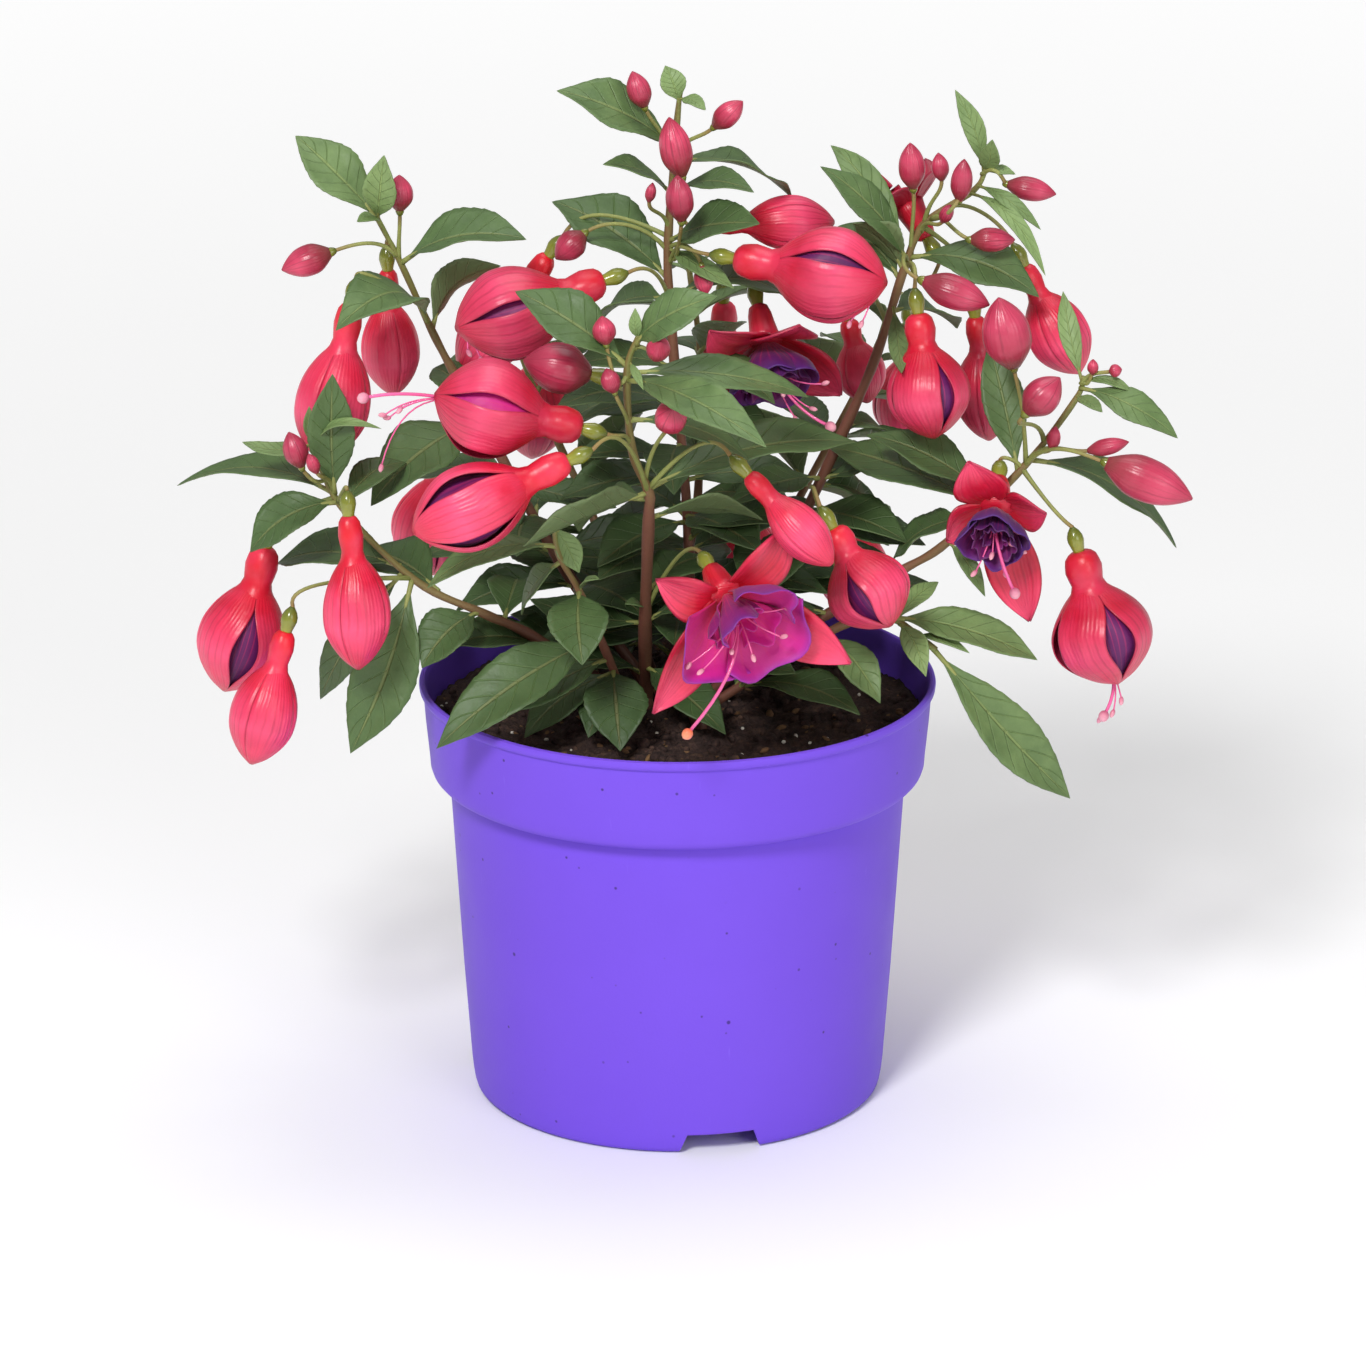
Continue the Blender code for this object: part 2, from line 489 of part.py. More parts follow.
# ---------------------------------------------------------------- room between the pieces

taken = []  # (node, search tree of the piece as built)


def take(node, shape):
    taken.append((node, BVHTree.FromPolygons(*shape)))


def is_clear(node, shape):
    tree = BVHTree.FromPolygons(*shape)
    return not any(owner != node and tree.overlap(other) for owner, other in taken)


def settle(node, build, choices, name, grow=0.35 * MM):
    """The first choice whose grown shape touches no other node's piece, or None."""
    for choice in choices:
        if all(is_clear(node, shape) for shape in build(choice, grow)):
            return choice
    print("no room:", node, name)
    return None


# ---------------------------------------------------------------- objects


def new_object(name, shape, hidden=False):
    mesh = bpy.data.meshes.new(name)
    mesh.from_pydata(*[[tuple(v) for v in shape[0]], [], shape[1]])
    mesh.validate()
    obj = bpy.data.objects.new(name, mesh)
    bpy.context.scene.collection.objects.link(obj)
    if hidden:
        obj.hide_render = True
        obj.display_type = "WIRE"
    return obj


def outward(shape):
    """The shape with its faces turned so that its volume is positive."""
    verts, faces = shape
    volume = 0.0
    for face in faces:
        for b, c in zip(face[1:], face[2:], strict=False):
            volume += verts[face[0]].dot(verts[b].cross(verts[c]))
    return shape if volume > 0 else (verts, [tuple(reversed(f)) for f in faces])


def finish_object(obj, kind):
    material = bpy.data.materials.new(obj.name)
    material.use_nodes = True
    shader = material.node_tree.nodes["Principled BSDF"]
    colour, roughness = COLOURS[kind]
    shader.inputs["Base Color"].default_value = (*colour, 1.0)
    shader.inputs["Roughness"].default_value = roughness
    shader.inputs["Metallic"].default_value = 0.0
    obj.data.materials.append(material)
    return obj


def make_node(name, shapes, kind):
    """One solid from overlapping closed shapes."""
    obj = new_object(name, outward(shapes[0]))
    if len(shapes) > 1:
        group = bpy.data.collections.new(name + "_pieces")
        bpy.context.scene.collection.children.link(group)
        for k, shape in enumerate(shapes[1:]):
            piece = new_object(f"{name}_piece_{k}", outward(shape), hidden=True)
            bpy.context.scene.collection.objects.unlink(piece)
            group.objects.link(piece)
        union = obj.modifiers.new("join", "BOOLEAN")
        union.operation = "UNION"
        union.operand_type = "COLLECTION"
        union.collection = group
        union.solver = "EXACT"
    return finish_object(obj, kind)


# ---------------------------------------------------------------- pot and soil


def turned(profile, sides):
    """A body turned about Z from (radius, height) points in mm, going up the outer side first."""
    verts, rings = [], []
    for radius, height in profile:
        if radius == 0:
            rings.append([len(verts)])
            verts.append(place((0, 0, height)))
            continue
        rings.append(list(range(len(verts), len(verts) + sides)))
        for k in range(sides):
            angle = 2 * math.pi * k / sides
            verts.append(place((radius * math.cos(angle), radius * math.sin(angle), height)))
    return verts, bridge(rings)


def pot_profile():
    """From the centre of the floor's underside, out and up the outer side,
        and back down the inner one."""
    foot, rim = FOOT_RADIUS, RIM_RADIUS
    return [
        (0, FLOOR_UNDERSIDE),
        (foot - WALL, FLOOR_UNDERSIDE),
        (foot - WALL, 0.0),
        (foot, 0.0),
        (foot + 0.7, 1.0),
        (foot + 1.1, 6.5),
        (57.5, 83.6),
        (60.4, 84.0),
        (61.9, 84.8),
        (62.4, 86.2),
        (rim - 0.7, 106.4),
        (rim, 106.9),
        (rim, 107.6),
        (rim - 0.4, POT_HEIGHT),
        (rim - 1.4, POT_HEIGHT),
        (rim - 1.8, 107.4),
        (61.2, 87.0),
        (60.2, 85.7),
        (56.6, 85.2),
        (56.3, 84.0),
        (foot - 0.1, 8.4),
        (foot - 1.2, FLOOR_UNDERSIDE + 1.6),
        (0, FLOOR_UNDERSIDE + 1.6),
    ]


def soil_profile():
    """The soil leaves a thin gap to the wall and is a little mounded on top."""
    return [
        (0, 7.2),
        (49.2, 7.2),
        (50.5, 8.8),
        (55.9, 84.2),
        (56.1, 85.8),
        (59.8, 86.2),
        (60.8, 87.4),
        (61.9, 98.4),
        (54.0, 99.6),
        (40.0, 100.4),
        (26.0, SOIL_TOP),
        (0, SOIL_TOP),
    ]


def cut(obj, cutter):
    modifier = obj.modifiers.new("cut", "BOOLEAN")
    modifier.operation = "DIFFERENCE"
    modifier.object = cutter
    modifier.solver = "EXACT"


def slot_cutter(k):
    """A slanted-sided wedge through the foot."""
    half_low, half_top = SLOT_BOTTOM_WIDTH / 2, SLOT_TOP_WIDTH / 2
    slope = (half_low - half_top) / SLOT_HEIGHT
    low = half_low + slope
    corners = [(-low, -1.0), (low, -1.0), (half_top, SLOT_HEIGHT), (-half_top, SLOT_HEIGHT)]
    near, far = FOOT_RADIUS - 6.0, FOOT_RADIUS + 6.0
    turn = Matrix.Rotation(math.radians(SLOT_FIRST_DEG + 360.0 / SLOT_COUNT * k), 4, "Z")
    verts = [turn @ place((x, -near, z)) for x, z in corners] + [turn @ place((x, -far, z)) for x, z in corners]
    return new_object(f"slot_cutter_{k}", outward((verts, bridge([[0, 1, 2, 3], [4, 5, 6, 7]]))), hidden=True)


def make_pot():
    shape = outward(turned(pot_profile(), POT_SIDES))
    pot = finish_object(new_object("pot", shape), "pot")
    for k in range(SLOT_COUNT):
        cut(pot, slot_cutter(k))
    for k in range(DRAIN_COUNT):
        angle = 2 * math.pi * (k + 0.56) / DRAIN_COUNT
        centre = Vector((DRAIN_CIRCLE * math.cos(angle), DRAIN_CIRCLE * math.sin(angle), 0.0))
        hole = sweep([place(centre + Vector((0, 0, z))) for z in (2.0, 12.0)], [DRAIN_RADIUS * MM] * 2, 12)
        cut(pot, new_object(f"drain_cutter_{k}", outward(hole), hidden=True))
    take("pot", shape)


def make_soil():
    shape = outward(turned(soil_profile(), POT_SIDES))
    finish_object(new_object("potting_soil", shape), "soil")
    take("potting_soil", shape)


# ---------------------------------------------------------------- the plant


def point_on(points, share):
    """The point at a share of a path's number of spans, with the path's direction there."""
    at = share * (len(points) - 1)
    k = min(int(at), len(points) - 2)
    return points[k].lerp(points[k + 1], at - k), (points[k + 1] - points[k]).normalized()


def rear_leaves():
    """Opposite pairs, each pair turned a quarter from the one below it."""
    rows = []
    for shoot, (_, points) in REAR_SHOOTS.items():
        path = [place(p) for p in points]
        for k, (share, length) in enumerate(REAR_PAIRS):
            root, way = point_on(path, share)
            across = way.cross(Vector((0, 0, 1))).normalized()
            out = across if k % 2 == 0 else way.cross(across)
            for sign in (1, -1):
                reach = (out * sign * 0.92 + way * 0.30 + Vector((0, 0, -0.15))).normalized() * length * MM
                rows.append((shoot, root, root + reach, 0.42 * length * MM, Vector((0, 0.2, 1.0)), 2 * MM))
    return rows


def leaf_rows():
    rows = [
        (shoot, place(root), place(tip), width * MM, upper_face(lean), arch * MM)
        for shoot, root, tip, width, lean, arch in LEAVES + INNER_LEAVES
    ]
    return sorted(rows + rear_leaves(), key=lambda row: -row[3]) + thicket_leaves()


def at_height(path, height):
    for a, b in zip(path, path[1:], strict=False):
        if a.z <= height < b.z:
            return a.lerp(b, (height - a.z) / (b.z - a.z))
    return None


def thicket_leaves():
    """Pairs of leaves that fill the bush between the stems, each turned from the one below it."""
    rows = []
    stems = {**SHOOTS, **REAR_SHOOTS}
    for shoot, (first, lengths) in THICKET.items():
        path = [place(p) for p in stems[shoot][1]]
        for k, length in enumerate(lengths):
            root = at_height(path, (THICKET_FIRST + THICKET_STEP * k) * MM)
            for half in (0, 180):
                angle = math.radians(first + 72 * k + half)
                reach = Vector((math.cos(angle), math.sin(angle), 0.22 - 0.06 * k)) * length * MM
                if root and (root + reach).y > THICKET_FRONT * MM:
                    rows.append((shoot, root, root + reach, 0.44 * length * MM, Vector((0, -0.3, 1.0)), 3 * MM))
    return rows


def grow_plant():
    """Places every organ in turn and returns the shapes of each shoot and of each flower and bud."""
    stems = {**SHOOTS, **REAR_SHOOTS}
    shoots = {name: [] for name in stems}
    organs = []

    def add(shoot, shape):
        shoots[shoot].append(shape)
        take("shoot_" + shoot, shape)

    paths = {}
    for shoot, (radii, points) in stems.items():
        paths[shoot] = stem_path([place(p) for p in points])
        add(shoot, stem_body(paths[shoot], radii))

    stalks = []
    for name, shoot, kind, start, tip, width, root, via in FLOWERS + REAR_FLOWERS:
        node = "flower_" + name
        start, tip = place(start), place(tip)
        sepals = [place(p) for p in OPEN_SEPALS.get(name, [])]

        def build(shift, grow, start=start, tip=tip, width=width, sepals=sepals, kind=kind):
            move = DEPTH * shift * MM
            if kind == "open":
                return open_body(start + move, tip + move, [p + move for p in sepals], grow)
            return [flower_body(start + move, tip + move, width * MM, grow)]

        shift = settle(node, build, SHIFTS, "") or 0
        shapes = build(shift, 0.0)
        for shape in shapes:
            take(node, shape)
        organs.append((node, shapes, "flower"))
        move = DEPTH * shift * MM
        way = (tip - start).normalized()
        end = start + move - way * (6.0 * MM + 1.6 * GAP)
        stalks.append((shoot, node, place(root), via and place(via), end, way))
        if name in COROLLAS:
            radius, length = COROLLAS[name]
            for share in (1.0, 0.9, 0.8, 0.7, 0.6, 0.5):
                petals = corolla_body(tip + move, way, radius * share * MM, length * MM)
                grown = corolla_body(tip + move, way, radius * share * MM, length * MM, GAP)
                if is_clear("corolla_" + name, grown):
                    break
            take("corolla_" + name, petals)
            organs.append(("corolla_" + name, [petals], "corolla"))

    for name, shoot, base, tip, width, root, own in BUDS:
        node = "bud_" + name if own else "shoot_" + shoot
        base, tip = place(base), place(tip)

        def build(shift, grow, base=base, tip=tip, width=width):
            move = DEPTH * shift * MM
            return [bud_body(base + move, tip + move, width * MM, grow)]

        shift = settle(node, build, SHIFTS, name) or 0
        shape = build(shift, 0.0)[0]
        base = base + DEPTH * shift * MM
        way = (tip + DEPTH * shift * MM - base).normalized()
        if own:
            take(node, shape)
            organs.append((node, [shape], "bud"))
            end = base - way * GAP * 1.2
        else:
            add(shoot, shape)
            end = base + way * 1.0 * MM
        stalks.append((shoot, node, place(root), None, end, way))

    for shoot, node, root, via, end, way in stalks:
        root = nearest_on(paths[shoot], root)
        middle = (root + end) / 2 if via is None else via

        def build(bend, grow, root=root, via=via, end=end, way=way, middle=middle):
            if bend == (0, 0):
                return [stalk_body(stalk_path(root, via, end, way), grow)]
            bent = middle + DEPTH * bend[0] * MM + Vector((0, 0, (2 + bend[1]) * MM))
            return [stalk_body(stalk_path(root, bent, end, way), grow)]

        bend = settle("shoot_" + shoot, build, BENDS, "stalk of " + node, 0.1 * MM) or (0, 0)
        add(shoot, build(bend, 0.0)[0])

    for shoot, root, tip, width, normal, arch in leaf_rows():
        path = paths[shoot]
        last = path[-1].lerp(path[-2], 1.4 * MM / (path[-1] - path[-2]).length)
        root = nearest_on(path[:-1] + [last], root)

        def build(choice, grow, root=root, tip=tip, width=width, normal=normal, arch=arch):
            shift, bow, size = choice
            end = root + (tip + DEPTH * shift * MM - root) * size
            return [blade(root, end, width * size, normal, arch * bow, LEAF, 0.8 * MM, grow=grow)]

        choice = settle("shoot_" + shoot, build, LEAF_CHOICES, f"leaf {tuple(round(c / MM) for c in tip)}")
        if choice is None:
            continue
        add(shoot, build(choice, 0.0)[0])
    return shoots, organs


def main():
    for obj in list(bpy.data.objects):
        bpy.data.objects.remove(obj)
    make_pot()
    make_soil()
    shoots, organs = grow_plant()
    for name, shapes in shoots.items():
        make_node("shoot_" + name, shapes, "shoot")
    for node, shapes, kind in organs:
        make_node(node, shapes, kind)


main()
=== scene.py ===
"""A fuchsia in flower in a violet grow pot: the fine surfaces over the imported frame.

The organ plan below is in millimetres, with the origin under the pot and -Y to the front. It is the plan
that the frame was built from. Where an organ could sit in more than one place, the frame's own vertices
say which place it took. Each organ is then built again with veins, ribs, teeth, slits and stamens.
"""

import math
import random

import bpy
import numpy as np
from mathutils import Matrix, Vector, noise
from mathutils.kdtree import KDTree


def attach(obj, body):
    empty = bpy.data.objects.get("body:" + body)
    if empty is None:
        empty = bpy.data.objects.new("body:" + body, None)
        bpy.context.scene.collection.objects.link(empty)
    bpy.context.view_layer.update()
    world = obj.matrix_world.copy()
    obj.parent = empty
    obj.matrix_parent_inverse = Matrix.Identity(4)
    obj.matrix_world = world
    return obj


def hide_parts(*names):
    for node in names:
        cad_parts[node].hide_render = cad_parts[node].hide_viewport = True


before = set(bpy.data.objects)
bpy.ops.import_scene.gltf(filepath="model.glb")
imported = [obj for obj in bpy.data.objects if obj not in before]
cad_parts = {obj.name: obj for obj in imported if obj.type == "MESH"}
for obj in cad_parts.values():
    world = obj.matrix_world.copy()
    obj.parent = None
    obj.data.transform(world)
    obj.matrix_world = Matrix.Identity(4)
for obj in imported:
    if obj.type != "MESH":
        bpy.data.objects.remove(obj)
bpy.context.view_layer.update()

MM = 0.001
DEPTH = Vector((0.0, 0.9455, -0.3256))  # the line on which crowded pieces were moved
UP = Vector((0.0, 0.0, 1.0))
TO_VIEWER = -DEPTH


# ---------------------------------------------------------------- the organ plan, in millimetres

SHOOTS = {  # name: (root and tip radius of the stem, points along it from the soil up)
    "front": ((2.3, 0.8), [(-8, 0, 101), (-8, -16, 128), (-7, -36, 161), (-7, -40, 169),
        (-11, -46, 182), (-12, -54, 204), (-9, -58, 214)]),
    "crown": ((2.1, 0.7), [(-1, 12, 101), (3, 12, 135), (-2, 8, 204), (-2, 8, 224), (0, 8, 250),
        (1, 8, 259)]),
    "right_top": ((2.1, 0.7), [(7, 14, 101), (26, 14, 134), (43, 12, 172), (50, 8, 191), (56, 6, 212),
        (61, 6, 224), (73, 4, 233), (76, 4, 239)]),
    "right": ((2.1, 0.7), [(8, -2, 101), (26, -8, 120), (43, -10, 131), (56, -12, 140),
        (67, -14, 148), (86, -14, 168), (98, -12, 184), (100, -12, 190)]),
    "left_top": ((2.1, 0.7), [(-9, 10, 101), (-30, 12, 135), (-49, 8, 173), (-56, 2, 188),
        (-61, 0, 199), (-68, -2, 216), (-74, -4, 229)]),
    "left_low": ((2.1, 0.7), [(-14, -4, 101), (-29, -12, 118), (-39, -14, 125), (-49, -18, 131),
        (-65, -20, 140), (-83, -22, 160), (-90, -22, 177)]),
    "front_side": ((1.5, 0.7), [(-12, -14, 101), (-19, -30, 128), (-24, -38, 143), (-29, -42, 154),
        (-30, -44, 163)]),
    "right_low": ((1.8, 0.9), [(6, -16, 101), (30, -18, 121), (43, -20, 129), (53, -20, 130),
        (64, -24, 123)]),
}
FLOWERS = [  # name, shoot, kind, end of ovary, tip, width, root of the stalk, a point on the stalk
    ("left_top", "crown", "parted", (-18, -14, 215), (-54, -22, 205), 22, (-2, 8, 204), (-6, -3, 212)),
    ("left_top_rear", "crown", "closed", (-32, 16, 213), (-54, 18, 182), 16, (-2, 8, 220),
        (-19, 14, 224)),
    ("crown_rear", "crown", "closed", (9, 16, 221), (39, 22, 220), 13, (-1, 8, 235), None),
    ("crown_front", "crown", "parted", (14, -12, 220), (51, -20, 216), 23, (-2, 8, 213), None),
    ("dark_centre", "crown", "open", (20, 13, 201), (22, 7, 193), 0, (-2, 8, 196), None),
    ("right_top_open", "right_top", "open", (62, 14, 218), (57, 18, 226), 0, (57, 6, 215), None),
    ("right_inner", "right_top", "parted", (59, -12, 206), (63, -18, 176), 20, (57, 6, 213),
        (58, -8, 211)),
    ("right_rear", "right_top", "closed", (74, 10, 199), (78, 10, 167), 15, (61, 6, 223), (71, 14, 210)),
    ("right_top", "right_top", "closed", (86, 10, 212), (100, 8, 185), 15, (66, 5, 227), None),
    ("right_deep", "right_top", "closed", (43, 28, 193), (48, 26, 172), 12, (52, 7, 198), (46, 20, 200)),
    ("front_left_upper", "front", "parted", (-23, -56, 190), (-58, -58, 199), 23, (-11, -46, 182), None),
    ("front_left_lower", "front", "parted", (-26, -66, 185), (-63, -72, 169), 20, (-7, -40, 168),
        (-13, -54, 184)),
    ("front_right_bud", "front", "closed", (17, -58, 179), (37, -66, 159), 11, (-7, -40, 170),
        (5, -50, 178)),
    ("front_open", "front", "open", (8, -57, 155), (12, -66, 151), 0, (-8, -18, 131), (0, -36, 149)),
    ("front_right", "right", "parted", (38, -38, 159), (52, -44, 136), 20, (42, -10, 131),
        (34, -26, 163)),
    ("right_open", "right", "open", (79, -20, 166), (78, -29, 161), 0, (85, -14, 167), None),
    ("right_outer", "right", "parted", (99, -22, 148), (109, -26, 115), 24, (85, -14, 167),
        (92, -20, 159)),
    ("left_wide", "left_top", "closed", (-80, -10, 208), (-88, -14, 169), 18, (-64, -1, 205),
        (-75, -7, 212)),
    ("left_narrow", "left_top", "closed", (-72, 14, 210), (-71, 16, 177), 14, (-68, -2, 215),
        (-71, 8, 217)),
    ("outer_left", "left_low", "parted", (-102, -12, 146), (-113, -14, 109), 21, (-84, -22, 162),
        (-96, -15, 154)),
    ("low_left", "left_low", "closed", (-96, -36, 132), (-105, -40, 99), 16, (-65, -20, 141),
        (-88, -30, 140)),
    ("low_left_front", "left_low", "closed", (-80, -40, 163), (-78, -44, 125), 16, (-83, -22, 161),
        (-81, -34, 166)),
    ("front_left_bud", "front", "closed", (-21, -44, 200), (-37, -46, 204), 12, (-12, -53, 201), None),
]
BUDS = {  # shoot: name, base, tip, width, where its stalk leaves the stem, own node
    "left_top": [
        ("e_up", (-68, -4, 230), (-68, -4, 239), 6.8, (-69, -2, 217), True),
        ("e_left", (-85, -6, 220), (-97, -8, 216), 7.4, (-69, -2, 218), True),
    ],
    "crown": [
        ("b_left_dark", (-23, 4, 222), (-30, 2, 216), 6.9, (-2, 8, 216), False),
        ("b_upper_left", (-8, 4, 254), (-11, 4, 263), 5.9, (-1, 8, 238), False),
        ("b_front", (1, -6, 239), (-2, -6, 254), 7.8, (-2, 8, 229), True),
        ("b_front_low", (1, -10, 229), (0, -12, 241), 6.8, (-2, 8, 218), True),
        ("b_upper_right", (9, 4, 249), (16, 2, 256), 5.9, (-1, 8, 240), True),
        ("b_small", (-7, 0, 231), (-6, 0, 236), 2.7, (-2, 8, 222), False),
        ("b_red", (6, -4, 216), (7, -6, 209), 4.9, (-2, 8, 217), False),
    ],
    "right_top": [
        ("c_up", (58, 2, 234), (57, 0, 246), 6.6, (58, 6, 216), True),
        ("c_up_small", (65, 2, 236), (64, 2, 243), 4.4, (61, 6, 224), False),
        ("c_mid", (69, -6, 233), (70, -8, 244), 5.4, (63, 6, 225), False),
        ("c_tiny", (65, -4, 227), (67, -6, 232), 3.4, (60, 6, 222), False),
        ("c_right", (81, 2, 235), (93, 0, 233), 5.9, (75, 4, 237), True),
        ("c_low_right", (72, -2, 222), (83, -2, 222), 6.1, (63, 6, 225), False),
        ("c_front", (60, -18, 216), (76, -22, 211), 8.5, (57, 6, 213), True),
    ],
    "right": [
        ("d_top", (82, -24, 196), (78, -26, 214), 12.1, (86, -14, 168), True),
        ("d_facing", (85, -30, 186), (93, -30, 195), 9.0, (90, -13, 174), True),
        ("d_small", (92, -18, 173), (93, -18, 179), 3.4, (87, -14, 169), False),
        ("d_thin", (101, -16, 172), (111, -18, 175), 4.2, (87, -14, 170), False),
        ("d_right", (105, -26, 172), (126, -30, 164), 11.0, (85, -14, 168), True),
        ("d_tip_a", (102, -14, 191), (102, -14, 195), 2.7, (100, -12, 189), False),
        ("d_tip_b", (106, -15, 192), (109, -16, 193), 3.2, (99, -12, 188), False),
    ],
    "front": [
        ("a_left", (-17, -56, 211), (-18, -56, 218), 5.5, (-12, -54, 203), False),
        ("a_facing", (-5, -58, 209), (-4, -68, 215), 5.7, (-10, -57, 210), False),
        ("a_left_low", (-15, -56, 199), (-17, -56, 205), 4.8, (-11, -46, 183), False),
        ("a_round", (-2, -56, 191), (-1, -66, 198), 7.8, (-8, -41, 172), True),
    ],
    "left_low": [
        ("f_up", (-92, -26, 171), (-95, -26, 180), 5.9, (-86, -22, 167), True),
        ("f_small", (-88, -28, 170), (-90, -28, 175), 3.2, (-85, -22, 164), False),
    ],
}
